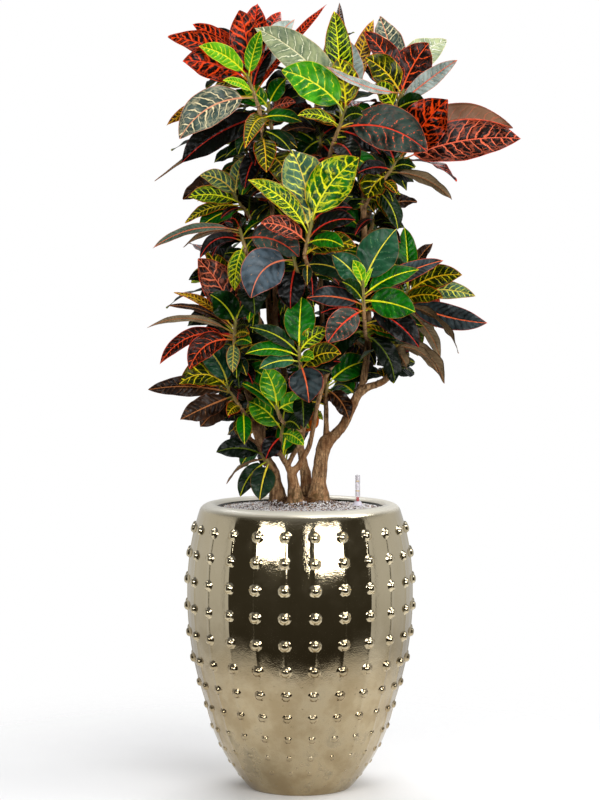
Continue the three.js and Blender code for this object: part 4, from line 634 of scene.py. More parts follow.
# ---------------------------------------------------------------- values that change over a surface
class Wire:
    """A number that changes over a surface: arithmetic on it adds Math nodes to its tree."""

    def __init__(self, tree, socket):
        self.tree = tree
        self.socket = socket

    def math(self, operation, *others, first=None):
        """A Math node on this and others; `first` goes before this."""
        node = self.tree.nodes.new("ShaderNodeMath")
        node.operation = operation
        terms = (self, *others) if first is None else (first, self)
        for target, term in zip(node.inputs, terms):
            feed(self.tree, target, term)
        return Wire(self.tree, node.outputs[0])

    def __add__(self, other):
        return self.math("ADD", other)

    def __sub__(self, other):
        return self.math("SUBTRACT", other)

    def __rsub__(self, other):
        return self.math("SUBTRACT", first=other)

    def __mul__(self, other):
        return self.math("MULTIPLY", other)

    def __truediv__(self, other):
        return self.math("DIVIDE", other)

    __radd__ = __add__
    __rmul__ = __mul__

    def size(self):
        return self.math("ABSOLUTE")

    def power(self, exponent):
        return self.math("POWER", exponent)

    def fraction(self):
        return self.math("FRACT")

    def step(self, low, high, to_low=0.0, to_high=1.0):
        """Goes smoothly from to_low, where this is `low`, to to_high, where it is `high`."""
        node = self.tree.nodes.new("ShaderNodeMapRange")
        node.interpolation_type = "SMOOTHSTEP"
        for target, term in zip(node.inputs[:5], (self, low, high, to_low, to_high)):
            feed(self.tree, target, term)
        return Wire(self.tree, node.outputs[0])


def feed(tree, target, value):
    """Joins a wire or a socket to an input, or sets the input to a plain value."""
    if isinstance(value, Wire):
        value = value.socket
    if isinstance(value, bpy.types.NodeSocket):
        tree.links.new(value, target)
    else:
        target.default_value = value


def stored(tree, name, output="Vector"):
    """What the mesh stores under that name."""
    node = tree.nodes.new("ShaderNodeAttribute")
    node.attribute_name = name
    return node.outputs[output]


def split(tree, vector):
    """A vector's three parts."""
    node = tree.nodes.new("ShaderNodeSeparateXYZ")
    feed(tree, node.inputs[0], vector)
    return [Wire(tree, output) for output in node.outputs]


def combined(tree, x, y, z):
    """A vector of three parts."""
    node = tree.nodes.new("ShaderNodeCombineXYZ")
    for target, value in zip(node.inputs, (x, y, z)):
        feed(tree, target, value)
    return node.outputs[0]


def places(tree):
    """Object coordinates, in metres."""
    return tree.nodes.new("ShaderNodeTexCoord").outputs["Object"]


def noisy(tree, vector, scale, detail=2.0, roughness=0.5):
    """Cloudy chance values about 0.5."""
    node = tree.nodes.new("ShaderNodeTexNoise")
    for name, value in (("Vector", vector), ("Scale", scale), ("Detail", detail), ("Roughness", roughness)):
        feed(tree, node.inputs[name], value)
    return Wire(tree, node.outputs["Fac"])


def cells(tree, vector, scale, feature="F1"):
    """The distance to the nearest of scattered points, or to the edges between them."""
    node = tree.nodes.new("ShaderNodeTexVoronoi")
    node.feature = feature
    feed(tree, node.inputs["Vector"], vector)
    feed(tree, node.inputs["Scale"], scale)
    return Wire(tree, node.outputs["Distance"])


def mixed(tree, share, first, second):
    """The first colour where share is 0 and the second where it is 1; three numbers are a screen colour."""
    node = tree.nodes.new("ShaderNodeMix")
    node.data_type = "RGBA"
    feed(tree, node.inputs[0], share)
    for target, colour in ((node.inputs[6], first), (node.inputs[7], second)):
        on_screen = isinstance(colour, tuple) and len(colour) == 3
        feed(tree, target, linear(colour) if on_screen else colour)
    return node.outputs[2]


def bumped(tree, height, distance, strength=1.0):
    """The normal of a surface that looks raised by a height."""
    node = tree.nodes.new("ShaderNodeBump")
    for name, value in (("Height", height), ("Distance", distance), ("Strength", strength)):
        feed(tree, node.inputs[name], value)
    return node.outputs["Normal"]


def finish(name, **inputs):
    """A material with its Principled shader's inputs set; returns it with its tree and a setter."""
    material = bpy.data.materials.new(name)
    material.use_nodes = True
    tree = material.node_tree
    shader = tree.nodes["Principled BSDF"]

    def put(**values):
        for key, value in values.items():
            feed(tree, shader.inputs[key.replace("_", " ")], value)

    put(**inputs)
    return material, tree, put


# ---------------------------------------------------------------- finishes
def vein_group():
    """The marks of a croton leaf, from what its mesh stores.

    Blade: distance along and across the blade, and its half width there, in millimetres.
    Rows: the place counted in side veins, the leaf's own chance number, the midrib's half width.
    Habit: a side vein's half width in rows, the strength of the net, and how broken the veins are.
    """
    group = bpy.data.node_groups.new("leaf_marks", "ShaderNodeTree")
    for name in ("Blade", "Rows", "Habit"):
        group.interface.new_socket(name, in_out="INPUT", socket_type="NodeSocketVector")
    for name in ("Rib", "Veins", "Rim", "Halo", "Patches", "Pucker"):
        group.interface.new_socket(name, in_out="OUTPUT", socket_type="NodeSocketFloat")
    inward = group.nodes.new("NodeGroupInput")
    along, across, half = split(group, inward.outputs["Blade"])
    row, chance, rib_half = split(group, inward.outputs["Rows"])
    share, net, broken = split(group, inward.outputs["Habit"])

    out = across.size()
    margin = out / half.math("MAXIMUM", 0.5)
    spot = combined(group, along, across, chance * 400)
    wobble = noisy(group, spot, 0.075, 3.0)
    bent_row = row + (wobble - 0.5) * 0.9
    off_vein = (bent_row.fraction() - 0.5).size()
    vein_spot = combined(group, bent_row.math("FLOOR") * 7.3, across.math("SIGN") * 3.1, chance * 90)
    vein_chance = noisy(group, vein_spot, 1.7, 0.0)
    width = share * (1.25 - margin * 0.75) * vein_chance.step(0.2, 0.8, 0.55, 1.35)
    side_vein = off_vein.step(width + 0.045, width * 0.6)
    grain = noisy(group, spot, 0.19, 3.0, 0.6)
    kept = grain.step(broken - 0.07, broken + 0.05)
    lengthwise = margin.step(vein_chance * 1.5 + 0.25, vein_chance * 1.1)
    side_vein = side_vein * kept * lengthwise.math("MAXIMUM", net)

    mesh_spot = combined(group, bent_row * 0.9, margin * 3.1, chance * 60)
    mesh_edge = cells(group, mesh_spot, 1.0, "DISTANCE_TO_EDGE")
    net_line = mesh_edge.step(0.13, 0.03) * net * noisy(group, spot, 0.11, 2.0).step(0.4, 0.58)
    off_loop = (margin - off_vein * 0.22 - 0.78 + vein_chance * 0.08).size()
    loop = off_loop.step(0.055, 0.02) * net * grain.step(0.3, 0.45)
    dot_spot = cells(group, spot, 0.16)
    dots = dot_spot.step(0.17, 0.08) * noisy(group, spot, 0.05, 1.0).step(0.5, 0.62)

    rib = out.step(rib_half + 0.55, rib_half)
    rim_width = noisy(group, spot, 0.09, 1.0) * 1.5 + 0.05
    rim = (half - out).step(rim_width + 0.7, rim_width * 0.4)
    pucker = (off_vein * 2).power(0.75) * margin.step(1.0, 0.55) + grain * 0.35
    pucker = pucker + out.step(0.5, rib_half + 3.2) * 0.9

    outward = group.nodes.new("NodeGroupOutput")
    marks = {"Rib": rib, "Rim": rim, "Halo": off_vein.step(0.42, 0.0), "Pucker": pucker,
             "Veins": side_vein.math("MAXIMUM", net_line).math("MAXIMUM", dots * 0.6).math("MAXIMUM", loop),
             "Patches": noisy(group, spot, 0.03, 3.0).step(0.36, 0.66)}
    for name, value in marks.items():
        feed(group, outward.inputs[name], value)
    return group


def leaf_finish():
    """A leaf's colours and sheen, from the marks of its kind that its mesh stores."""
    material, tree, put = finish("living_leaf", Specular_IOR_Level=0.13, Coat_Weight=0.06,
                                 Coat_Roughness=0.16)
    marks = tree.nodes.new("ShaderNodeGroup")
    marks.node_tree = vein_group()
    for name in ("Blade", "Rows", "Habit"):
        feed(tree, marks.inputs[name], stored(tree, name.lower()))
    found = {name: Wire(tree, marks.outputs[name]) for name in marks.outputs.keys()}
    below = Wire(tree, stored(tree, "below", "Fac"))
    shade = {name: stored(tree, name, "Color") for name in COLOURED}
    mottle = (found["Patches"] * 0.75 + found["Halo"] * 0.35).math("MINIMUM", 1.0)
    colour = mixed(tree, mottle, shade["ground"], shade["patch"])
    colour = mixed(tree, below * 0.8, colour, shade["under"])
    colour = mixed(tree, found["Veins"] * (1.0 - below * 0.45), colour, shade["vein"])
    colour = mixed(tree, found["Rim"] * 0.7, colour, shade["rim"])
    colour = mixed(tree, found["Rib"], colour, shade["rib"])
    dust = noisy(tree, places(tree), 45, 4.0)
    relief = found["Pucker"] * (1.0 - below * 1.8)
    put(Base_Color=colour, Roughness=dust.step(0.3, 0.7, 0.24, 0.38) + below * 0.2,
        Normal=bumped(tree, relief, 0.0011, 0.9))
    return material


def bark_finish():
    """Tan bark with dark upright streaks and fine cracks and painted shade on the lower left stems; young
    wood is green where the mesh stores it.
    """
    material, tree, put = finish("croton_bark", Specular_IOR_Level=0.25)
    spot = places(tree)
    x, y, z = split(tree, spot)
    upright = combined(tree, x, y, z * 0.16)
    broad = noisy(tree, spot, 34, 4.0, 0.6)
    fine = noisy(tree, spot, 420, 4.0, 0.7)
    streaks = noisy(tree, upright, 190, 4.0, 0.62)
    cracks = cells(tree, combined(tree, x, y, z * 0.3), 210, "DISTANCE_TO_EDGE").step(0.1, 0.0)
    cracks = cracks * broad.step(0.35, 0.6)
    young = Wire(tree, stored(tree, "young", "Fac"))
    wood = mixed(tree, broad.step(0.32, 0.66), (142, 96, 58), (218, 174, 126))
    wood = mixed(tree, streaks.step(0.47, 0.63) * 0.7, wood, (92, 58, 32))
    wood = mixed(tree, fine.step(0.45, 0.7) * 0.4, wood, (58, 38, 22))
    wood = mixed(tree, cracks * 0.6, wood, (40, 26, 16))
    # Painted shade: stems left of the middle are coloured darker below about 0.7 m.
    wood = mixed(tree, x.step(-0.02, -0.045) * z.step(0.75, 0.6) * 0.35, wood, (74, 42, 22))
    # Olive-dark patches low on the stems, just above the gravel.
    above_gravel = z.step(0.585, 0.55)
    wood = mixed(tree, above_gravel * noisy(tree, spot, 90, 2.0).step(0.42, 0.6) * 0.7, wood, (62, 54, 22))
    green = mixed(tree, fine.step(0.4, 0.7), (120, 128, 52), (150, 128, 80))
    put(Base_Color=mixed(tree, young, wood, green), Roughness=fine * 0.2 + 0.68,
        Normal=bumped(tree, broad * 0.5 + fine * 0.3 - streaks * 0.5 - cracks * 0.6, 0.002, 1.0))
    return material


def glaze_finish():
    """A mirror-like champagne glaze, more pitted low down and satin on the rim, with painted shade that makes
    it darker and browner low down.
    """
    material, tree, put = finish("champagne_glaze")
    spot = places(tree)
    height = split(tree, spot)[2]
    cloud = noisy(tree, spot, 16, 5.0, 0.62)
    speck = noisy(tree, spot, 150, 3.0, 0.65)
    low = height.step(0.30, 0.12)
    # Cloudy patches low down: rougher, and painted darker as shade.
    rough_shaded_patches = cloud.step(0.52, 0.7) * low
    pits = speck.step(0.66, 0.74) * (low * 0.8 + 0.2)
    lip = height.step(0.528, 0.538)
    # Painted shade: the colour is darker and browner low down.
    colour = mixed(tree, height.step(0.2, 0.42), (166, 148, 115), (214, 200, 166))
    colour = mixed(tree, cloud.step(0.35, 0.7) * 0.4, colour, (228, 214, 182))
    colour = mixed(tree, rough_shaded_patches * 0.5, colour, (132, 120, 96))
    colour = mixed(tree, pits * 0.6, colour, (84, 72, 52))
    colour = mixed(tree, lip, colour, (226, 221, 206))
    rough = cloud.step(0.35, 0.75, 0.07, 0.14) + low * 0.1 + rough_shaded_patches * 0.12 + lip * 0.24
    waves = noisy(tree, spot, 34, 2.0) * 0.6 + noisy(tree, spot, 110, 3.0) * 0.16
    waves = waves + cells(tree, spot, 420).step(0.0, 0.9) * 0.08
    put(Base_Color=colour, Roughness=rough, Metallic=1.0 - lip * 0.85,
        Normal=bumped(tree, waves - pits * 0.15, 0.0012, 0.55))
    return material


def inside_shade_finish():
    """The planter's inside: a glaze painted almost black as shade."""
    material, tree, put = finish("inside_painted_shade", Specular_IOR_Level=0.5)
    cloud = noisy(tree, places(tree), 60, 4.0, 0.6)
    # Painted shade: the inside wall is coloured almost black.
    put(Base_Color=mixed(tree, cloud.step(0.35, 0.7), (24, 24, 17), (50, 48, 34)),
        Roughness=cloud.step(0.3, 0.7, 0.2, 0.4), Normal=bumped(tree, cloud, 0.0008, 0.5))
    return material


def stone_finish():
    """Grains of several stones: each has its own stored tone."""
    material, tree, put = finish("gravel_stones", Specular_IOR_Level=0.35)
    tone = Wire(tree, stored(tree, "tone", "Fac"))
    fine = noisy(tree, places(tree), 900, 3.0)
    colour = mixed(tree, tone.step(0.12, 0.16), (72, 58, 50), (156, 146, 146))
    colour = mixed(tree, tone.step(0.32, 0.36), colour, (176, 140, 108))
    colour = mixed(tree, tone.step(0.44, 0.48), colour, (216, 211, 214))
    colour = mixed(tree, tone.step(0.64, 0.68), colour, (246, 244, 242))
    put(Base_Color=mixed(tree, fine.step(0.45, 0.7) * 0.3, colour, (86, 74, 68)), Roughness=0.82,
        Normal=bumped(tree, fine, 0.0006, 0.7))
    return material


def coir_finish():
    """Felted brown fibres."""
    material, tree, put = finish("root_coir", Specular_IOR_Level=0.2, Roughness=0.95)
    spot = places(tree)
    strand = noisy(tree, spot, 260, 5.0, 0.75)
    clump = noisy(tree, spot, 70, 3.0)
    colour = mixed(tree, strand.step(0.38, 0.64), (46, 29, 17), (132, 94, 58))
    put(Base_Color=mixed(tree, clump.step(0.5, 0.7) * 0.6, colour, (70, 46, 28)),
        Normal=bumped(tree, strand + clump, 0.003, 1.0))
    return material


def soil_finish():
    """Dark crumbs of potting mix."""
    material, tree, put = finish("potting_mix", Roughness=0.95)
    crumb = cells(tree, places(tree), 260)
    put(Base_Color=mixed(tree, crumb.step(0.1, 0.6), (62, 46, 34), (30, 22, 16)),
        Normal=bumped(tree, crumb, 0.002, 0.8))
    return material


def plastic_finish(name, first, second, see_through=0.0, roughness=0.22, bending=1.46, window=None):
    """Moulded plastic with faint flow marks; between the heights of its window it is clearer still."""
    material, tree, put = finish(name, Transmission_Weight=see_through, IOR=bending)
    flow = noisy(tree, places(tree), 120, 2.0)
    put(Base_Color=mixed(tree, flow, first, second), Roughness=flow * 0.08 + roughness)
    if window:
        height = split(tree, places(tree))[2]
        low, high = (MM * edge for edge in window)
        blur = 0.8 * MM
        put(Alpha=1.0 - height.step(low - blur, low) * height.step(high + blur, high) * 0.82)
    return material


# ---------------------------------------------------------------- leaves
@dataclass
class Leaf:
    """One leaf: facing is 1 where its upper side is turned to the front, and -1 to the back."""

    root: Vector
    tip: Vector
    width: float
    facing: float
    arch: float
    kind: str
    phase: float


def bent_tips(seen_tip=None, rule_tip=None):
    """The tip of a leaf at each step of its bending, as the solids try them."""
    if seen_tip:
        x, z, depth = seen_tip
        return [seen(x, z, depth + bend) for bend in BENDS]
    return [rule_tip + Vector((0, 0.6 * bend, -0.5 * abs(bend))) for bend in BENDS]


def twig_ends(shoot):
    """The foot and the crown of a shoot's twig."""
    return [seen(*shoot[end], shoot["deep"]) for end in ("foot", "crown")]


def wanted_leaves(shoot):
    """Every leaf of a shoot with all the tips that it may have."""
    foot, crown = twig_ends(shoot)
    given = shoot["leaves"]
    total = len(given) + shoot["around"]

    def root_of(i):
        return crown.lerp(foot, 0.06 + 0.8 * i / total)

    for i, (x, z, depth, width, facing, arch, kind) in enumerate(given):
        tips = bent_tips(seen_tip=(x, z, shoot["deep"] + depth))
        yield Leaf(root_of(i), tips[0], width, facing, arch, kind, GOLDEN_ANGLE * i), tips
    for k in range(shoot["around"]):
        i = len(given) + k
        turn = (k + 0.5) / shoot["around"] * math.pi if given else GOLDEN_ANGLE * k
        steep = 0.35 - 0.3 * (k % 2) if given else 0.95 - 1.5 * k / shoot["around"]
        reach = shoot["reach"] * (1 - 0.12 * math.cos(2.1 * k))
        root = root_of(0.4 * i if given else i)
        out = Vector((math.cos(turn) * math.cos(steep), math.sin(turn) * math.cos(steep), math.sin(steep)))
        tips = bent_tips(rule_tip=root + reach * out)
        kind = RULE_KINDS[(i + shoot["crown"][1]) % len(RULE_KINDS)]
        width = reach * (0.34 + 0.06 * math.sin(3 * k))
        yield Leaf(root, tips[0], width, 0, 0.14, kind, GOLDEN_ANGLE * i), tips


def leaves_of(shoot, solid):
    """The shoot's leaves, each bent to the tip that its solid has."""
    corners = KDTree(len(solid.data.vertices))
    for i, corner in enumerate(solid.data.vertices):
        corners.insert(corner.co / MM, i)
    corners.balance()
    leaves = []
    for leaf, tips in wanted_leaves(shoot):
        near = [corners.find(tip)[2] for tip in tips]
        if min(near) < 0.1:
            leaf.tip = tips[near.index(min(near))]
            leaves.append(leaf)
    return leaves


def blade_shape(u):
    """A blade's half width at a share of its length, as a share of its greatest."""
    return math.sin(math.pi * u ** 0.92) ** (0.58 + 0.28 * u ** 3)


def leaf_shares(steps):
    """The places from the stalk's root to the tip at which a leaf's section is set."""
    blade = [STALK_SHARE + (1 - STALK_SHARE) * (i / steps) ** 0.92 for i in range(steps)]
    return (0, 0.05, 0.1, *blade, 0.992)


def leaf_sections(leaf, shares):
    """Middle, sideways and upward directions and half width at shares of the leaf's length."""
    span = leaf.tip - leaf.root
    along = span.normalized()
    rising = square_to(UP, along)
    normal = (rising * (1 - abs(leaf.facing)) + square_to(FRONT, along) * leaf.facing).normalized()
    for t in shares:
        middle = leaf.root + span * t + rising * (leaf.arch * span.length * 4 * t * (1 - t))
        tangent = (along + rising * (leaf.arch * 4 * (1 - 2 * t))).normalized()
        upward = square_to(normal, tangent)
        u = max(0, (t - STALK_SHARE) / (1 - STALK_SHARE))
        half = STALK_HALF * (1 - u) + (leaf.width / 2 * blade_shape(u) if t > STALK_SHARE else 0)
        yield t, u, middle, tangent.cross(upward), upward, half


def blade_lift(leaf, u, v, half):
    """How far a blade's place at a share v from midrib to margin stands above the midrib."""
    if u <= 0:
        return 0.0
    phase = leaf.phase + (2 if v > 0 else 0)
    wave = WAVE * math.sin(2 * math.pi * WAVE_COUNT * u + phase) + 0.012 * math.sin(37 * u + 3 * phase)
    if leaf.kind in CRINKLED:
        wave *= CRINKLE
    return KEEL * half * abs(v) ** 1.15 + leaf.width * wave * min(1, 4 * u) * abs(v) ** 1.5


def ring_places(across):
    """(share across, side: 1 above, -1 below, 0 at the margin) right round a leaf's section."""
    inner = [-v for v in reversed(across)] + list(across)
    above = [(v, 1) for v in inner]
    below = [(v, -1) for v in reversed(inner)]
    return [(-1, 0), *above, (1, 0), *below]


def leaf_colour(colour, light):
    """A kind's screen colour as a leaf's own, with its darks deepened."""
    return [min(0.9, light * c ** LEAF_CONTRAST) for c in linear(colour)[:3]] + [1.0]


def add_leaf(leaf, chance, body, steps, across):
    """Adds a leaf's closed thin mesh, and what its finish reads, to the body's lists."""
    *shades, habit = KINDS[leaf.kind]
    ring = ring_places(across)
    first = len(body["vertices"])
    length = (leaf.tip - leaf.root).length
    spacing = VEIN_SPACING * leaf.width + LEAST_SPACING
    light = (0.84 + 0.32 * chance) * LEAF_LIGHT
    colours = {name: leaf_colour(shade, light) for name, shade in zip(COLOURED, shades)}
    stalk = [0.5 * a + 0.5 * b for a, b in zip(colours["rib"], linear(STALK_GREEN))]
    sections = list(leaf_sections(leaf, leaf_shares(steps)))

    def add(place, along, across, half, t, below):
        body["vertices"].append(place)
        body["blade"].append((along, across, half))
        row = (along - VEIN_SLANT * abs(across) - VEIN_SWEEP * across * across / max(half, 1)) / spacing
        rib_half = 0.3 + 1.35 * (1 - t) * min(1, leaf.width / 40)
        body["rows"].append((row + (0.5 if across > 0 else 0), chance, rib_half))
        body["habit"].append(habit)
        body["below"].append(below)
        for name, colour in colours.items():
            body[name].append(stalk if t < STALK_SHARE else colour)

    for t, u, middle, side, upward, half in sections:
        blended = min(1, max(0, (t - 0.11) / 0.09))
        rib_half = 1.4 * (1 - u) + 0.4
        for v, level in ring:
            rib = math.exp(-(v * half / rib_half) ** 2)
            stalk_height = 1.1 * math.sqrt(max(0, 1 - v * v)) * level
            blade_height = BLADE_HALF_THICKNESS * (1 - abs(v) ** 3) * level
            blade_height -= rib * (0.25 if level > 0 else RIB_RELIEF * (1 - u)) if level else 0
            height = (1 - blended) * stalk_height + blended * blade_height + blade_lift(leaf, u, v, half)
            add(middle + side * (v * half) + upward * height, (t - STALK_SHARE) * length, v * half, half, t,
                1.0 if level < 0 else 0.0)
    add(leaf.tip, (1 - STALK_SHARE) * length, 0, 0.3, 1, 0.0)

    count = len(ring)
    body["faces"] += bands(len(sections), count, first)
    edge_places = [k for k, (_, level) in enumerate(ring) if level == 0]
    for s in range(4, len(sections) - 1):
        low = first + s * count
        body["margins"].update((low + k, low + count + k) for k in edge_places)
    last = first + (len(sections) - 1) * count
    body["faces"].append(lid(first, count)[::-1])
    body["faces"] += spike(last, count, last + count)


def add_twig(shoot, body):
    """The green twig of a shoot, uneven with leaf scars, and its pointed bud."""
    foot, crown = twig_ends(shoot)
    axis = (crown - foot).normalized()
    sideways = square_to(Vector((1, 0, 0)), axis)
    other = axis.cross(sideways)
    length = (crown - foot).length + BUD
    thick, neck, tip = TWIG_RADII
    first = len(body["vertices"])
    for s in range(TWIG_STEPS + 1):
        far = 0.35 + (length - 0.35) * s / TWIG_STEPS
        share = far / length
        on_bud = (far - length + BUD) / BUD
        radius = thick - (thick - neck) * share if on_bud < 0 else neck - (neck - tip) * on_bud
        for k in range(TWIG_SIDES):
            turn = math.tau * k / TWIG_SIDES
            scar = 0.35 * math.sin(far * 0.9 + turn) + 0.25 * noise.noise(Vector((far * 0.2, k, foot.x)))
            out = radius + scar * min(1, (length - far) / 8)
            way = sideways * math.cos(turn) + other * math.sin(turn)
            body["vertices"].append(foot + axis * far + way * out)
            body["young"].append(share)
    body["faces"] += bands(TWIG_STEPS + 1, TWIG_SIDES, first)
    body["faces"].append(lid(first, TWIG_SIDES)[::-1])
    body["faces"].append(lid(first + TWIG_STEPS * TWIG_SIDES, TWIG_SIDES))


STORED = {"blade": "FLOAT_VECTOR", "rows": "FLOAT_VECTOR", "habit": "FLOAT_VECTOR", "below": "FLOAT",
          **{name: "FLOAT_COLOR" for name in COLOURED}, "young": "FLOAT"}


def store(mesh, name, values):
    """Stores one value for each of the mesh's first vertices; the others keep nothing."""
    kind = STORED[name]
    field, size = STORED_FIELD[kind]
    attribute = mesh.attributes.new(name, kind, "POINT")
    filled = np.zeros((len(mesh.vertices), size), np.float32)
    if len(values):
        filled[:len(values)] = np.array(values, np.float32).reshape(-1, size)
    attribute.data.foreach_set(field, filled.ravel())


def sharpen_margins(mesh, margins):
    """The thin edge of a blade stays crisp."""
    for edge in mesh.edges:
        edge.use_edge_sharp = tuple(edge.vertices) in margins


def shoot_piece(name, shoot, leaves, small_leaves, leaf_material, bark):
    """A shoot's leaves and twig in one mesh; the small leaves are made of fewer faces."""
    body = {key: [] for key in (*STORED, "vertices", "faces")}
    body["margins"] = set()
    for i, leaf in enumerate([*leaves, *small_leaves]):
        chance = (GOLDEN_SHARE * (i + 1) + 0.37 * len(name) + 0.011 * leaf.width) % 1
        if i < len(leaves):
            add_leaf(leaf, chance, body, BLADE_STEPS, ACROSS)
        else:
            add_leaf(leaf, chance, body, FILLING_STEPS, FILLING_ACROSS)
    leaf_vertices = len(body["vertices"])
    leaf_faces = len(body["faces"])
    add_twig(shoot, body)
    made = piece(f"{name}_leaves", body["vertices"], body["faces"], (leaf_material, bark))
    mesh = made.data
    for key in STORED:
        values = body[key] if key != "young" else [0.0] * leaf_vertices + body[key]
        store(mesh, key, values)
    for face in mesh.polygons[leaf_faces:]:
        face.material_index = 1
    sharpen_margins(mesh, body["margins"])
    return made


# ---------------------------------------------------------------- leaves that fill the crown
# The crown's reach as seen from the front: height, left and right edge.
CROWN_EDGE = ((600, -120, -60), (690, -150, 40), (740, -215, 95), (780, -245, 210), (860, -255, 290),
              (930, -220, 296), (1010, -205, 240), (1090, -195, 190), (1150, -180, 215), (1220, -172, 225),
              (1260, -190, 270), (1340, -190, 205), (1410, -200, 190), (1460, -140, 150), (1485, -100, 70))
# Where the trunks show between the leaves: left, right, low, high.
BARE_TRUNKS = ((108, 142, 785, 905), (106, 136, 1040, 1150), (20, 135, 600, 775), (-100, -20, 600, 690),
               (-82, -42, 850, 965), (28, 58, 880, 965))
# Mostly dark kinds: the leaves' own dark colours, chosen to paint the crown's inside darker as shade.
FILLING_KINDS = ("deep", "night", "shade", "deep", "olive", "shade", "green", "dusk")
BACK_KINDS = ("splash", "ember", "olive", "deep", "umber", "flame", "mosaic", "night", "teal", "green")
FILLING_REACH = 180                 # how far down its stem a shoot's filling leaves go
FILLING_PITCH = 4.5                 # the way along the stem between two tries
FILLING_TRIES = 9                   # directions tried at each place
FILLING_CLEARANCE = 1.6
BEHIND = 40                         # leaves this far back may face the back and stand behind a bare trunk
MOST_HIDDEN = 0.2                   # the share of a filling leaf that may stand before another leaf


def as_seen(place):
    """Where a place is seen from the front: the (x, z) that `seen` starts from."""
    grow = 1 + place.y / EYE_DISTANCE
    return place.x / grow, EYE_HEIGHT + (place.z - EYE_HEIGHT) / grow


def in_crown(place):
    """Whether a place is seen within the crown and not before a bare trunk."""
    x, z = as_seen(place)
    before_trunk = any(left < x < right and low < z < high for left, right, low, high in BARE_TRUNKS)
    if place.y < BEHIND and before_trunk:
        return False
    for (low, left_low, right_low), (high, left_high, right_high) in zip(CROWN_EDGE, CROWN_EDGE[1:]):
        if low <= z <= high:
            share = (z - low) / (high - low)
            left = left_low + (left_high - left_low) * share
            right = right_low + (right_high - right_low) * share
            return left < x < right
    return False


def rough_leaf(leaf, start):
    """A leaf's rough, slightly fat shape from a share of its length on, to find what it would cross."""
    vertices = []
    for _, _, middle, side, upward, half in leaf_sections(leaf, (start, 0.4, 0.6, 0.8, 0.95)):
        half += FILLING_CLEARANCE
        lifted = upward * (KEEL * half)
        vertices += [middle - side * half + lifted, middle + upward * FILLING_CLEARANCE,
                     middle + side * half + lifted, middle - upward * FILLING_CLEARANCE]
    tip = len(vertices)
    vertices.append(leaf.tip)
    faces = [*bands(tip // 4, 4), *spike(tip - 4, 4, tip), (3, 2, 1, 0)]
    return BVHTree.FromPolygons(vertices, faces)


def surface_of(*made):
    """One search tree, in millimetres, over the faces of mesh objects."""
    vertices, faces = [], []
    for thing in made:
        first = len(vertices)
        vertices += [vertex.co / MM for vertex in thing.data.vertices]
        faces += [tuple(first + i for i in face.vertices) for face in thing.data.polygons]
    return BVHTree.FromPolygons(vertices, faces)


def hidden_share(leaf, foliage):
    """The share of a leaf's places that stand before other leaves as seen from the front."""
    eye = Vector((0, -EYE_DISTANCE, EYE_HEIGHT))
    spots = []
    for _, _, middle, side, _, half in leaf_sections(leaf, (0.3, 0.45, 0.6, 0.75, 0.9)):
        spots += [middle - side * half * 0.7, middle, middle + side * half * 0.7]
    hit = [foliage.ray_cast(spot + (spot - eye).normalized() * 3, spot - eye, 260)[0] for spot in spots]
    return sum(place is not None for place in hit) / len(spots)


def carrier_of(name):
    """Places down a shoot's twig and on down its stem, each with the way up it."""
    foot, crown = twig_ends(SHOOTS[name])
    line = next(line for lines in STEMS.values() for line, carried in lines if carried == name)
    way_down = [crown, foot, *(place for place, _ in reversed(smooth_line(line)))]
    walked = 0
    for upper, lower in zip(way_down, way_down[1:]):
        length = (lower - upper).length
        while walked < length:
            yield upper.lerp(lower, walked / length), (upper - lower).normalized()
            walked += FILLING_PITCH
        walked -= length


def filling_leaves(name, foliage, wood, placed):
    """Leaves that fill the crown between the given ones, each clear of what stands there already."""
    found = []
    seed = sum(ord(letter) for letter in name)
    top = None
    for k, (root, axis) in enumerate(carrier_of(name)):
        top = top or root
        if (root - top).length > FILLING_REACH:
            break
        first = square_to(Vector((0, 1, 0.001)), axis)
        second = axis.cross(first)
        sunk = (root - top).length / FILLING_REACH
        for attempt in range(FILLING_TRIES):
            turn = GOLDEN_ANGLE * (k + 0.5) + 0.9 * attempt
            chance = (GOLDEN_SHARE * (FILLING_TRIES * k + attempt) + 0.137 * seed) % 1
            steep = 0.5 - 1.2 * sunk + 0.5 * (chance - 0.5)
            length = (112 - 8 * attempt) * (0.75 + 0.4 * chance)
            level = first * math.cos(turn) + second * math.sin(turn)
            out = level * math.cos(steep) + axis * math.sin(steep)
            behind = root.y > BEHIND and out.y > 0.35
            kinds = BACK_KINDS if behind else FILLING_KINDS
            leaf = Leaf(root, root + out * length, length * (0.36 + 0.09 * chance), -0.45 if behind else 0.65,
                        0.1 + 0.06 * chance, kinds[(k + attempt + seed) % len(kinds)], turn)
            if not all(in_crown(root.lerp(leaf.tip, share)) for share in (0.4, 0.7, 1)):
                continue
            shape = rough_leaf(leaf, 0.26)
            if shape.overlap(foliage) or any(shape.overlap(stem) for stem in wood):
                continue
            middle = root.lerp(leaf.tip, 0.5)
            if any((middle - spot).length < 0.55 * length + reach and shape.overlap(other)
                   for spot, reach, other in placed):
                continue
            if hidden_share(leaf, foliage) > MOST_HIDDEN:
                continue
            placed.append((middle, 0.55 * length, shape))
            found.append(leaf)
            break
    return found


# ---------------------------------------------------------------- woody stems
def smooth_line(line, step=5.0):
    """Places and radii every few millimetres along a smooth line through the given ones."""
    points = [seen(x, z, depth) for x, z, depth, _ in line]
    radii = [row[3] for row in line]
    places_out = []
    for i in range(len(points) - 1):
        before = points[max(i - 1, 0)]
        after = points[min(i + 2, len(points) - 1)]
        a, b = points[i], points[i + 1]
        count = max(1, round((b - a).length / step))
        for s in range(count):
            t = s / count
            place = 0.5 * (2 * a + (b - before) * t + (2 * before - 5 * a + 4 * b - after) * t * t
                           + (3 * a - before - 3 * b + after) * t ** 3)
            places_out.append((place, radii[i] + (radii[i + 1] - radii[i]) * t))
    places_out.append((points[-1], radii[-1]))
    return places_out


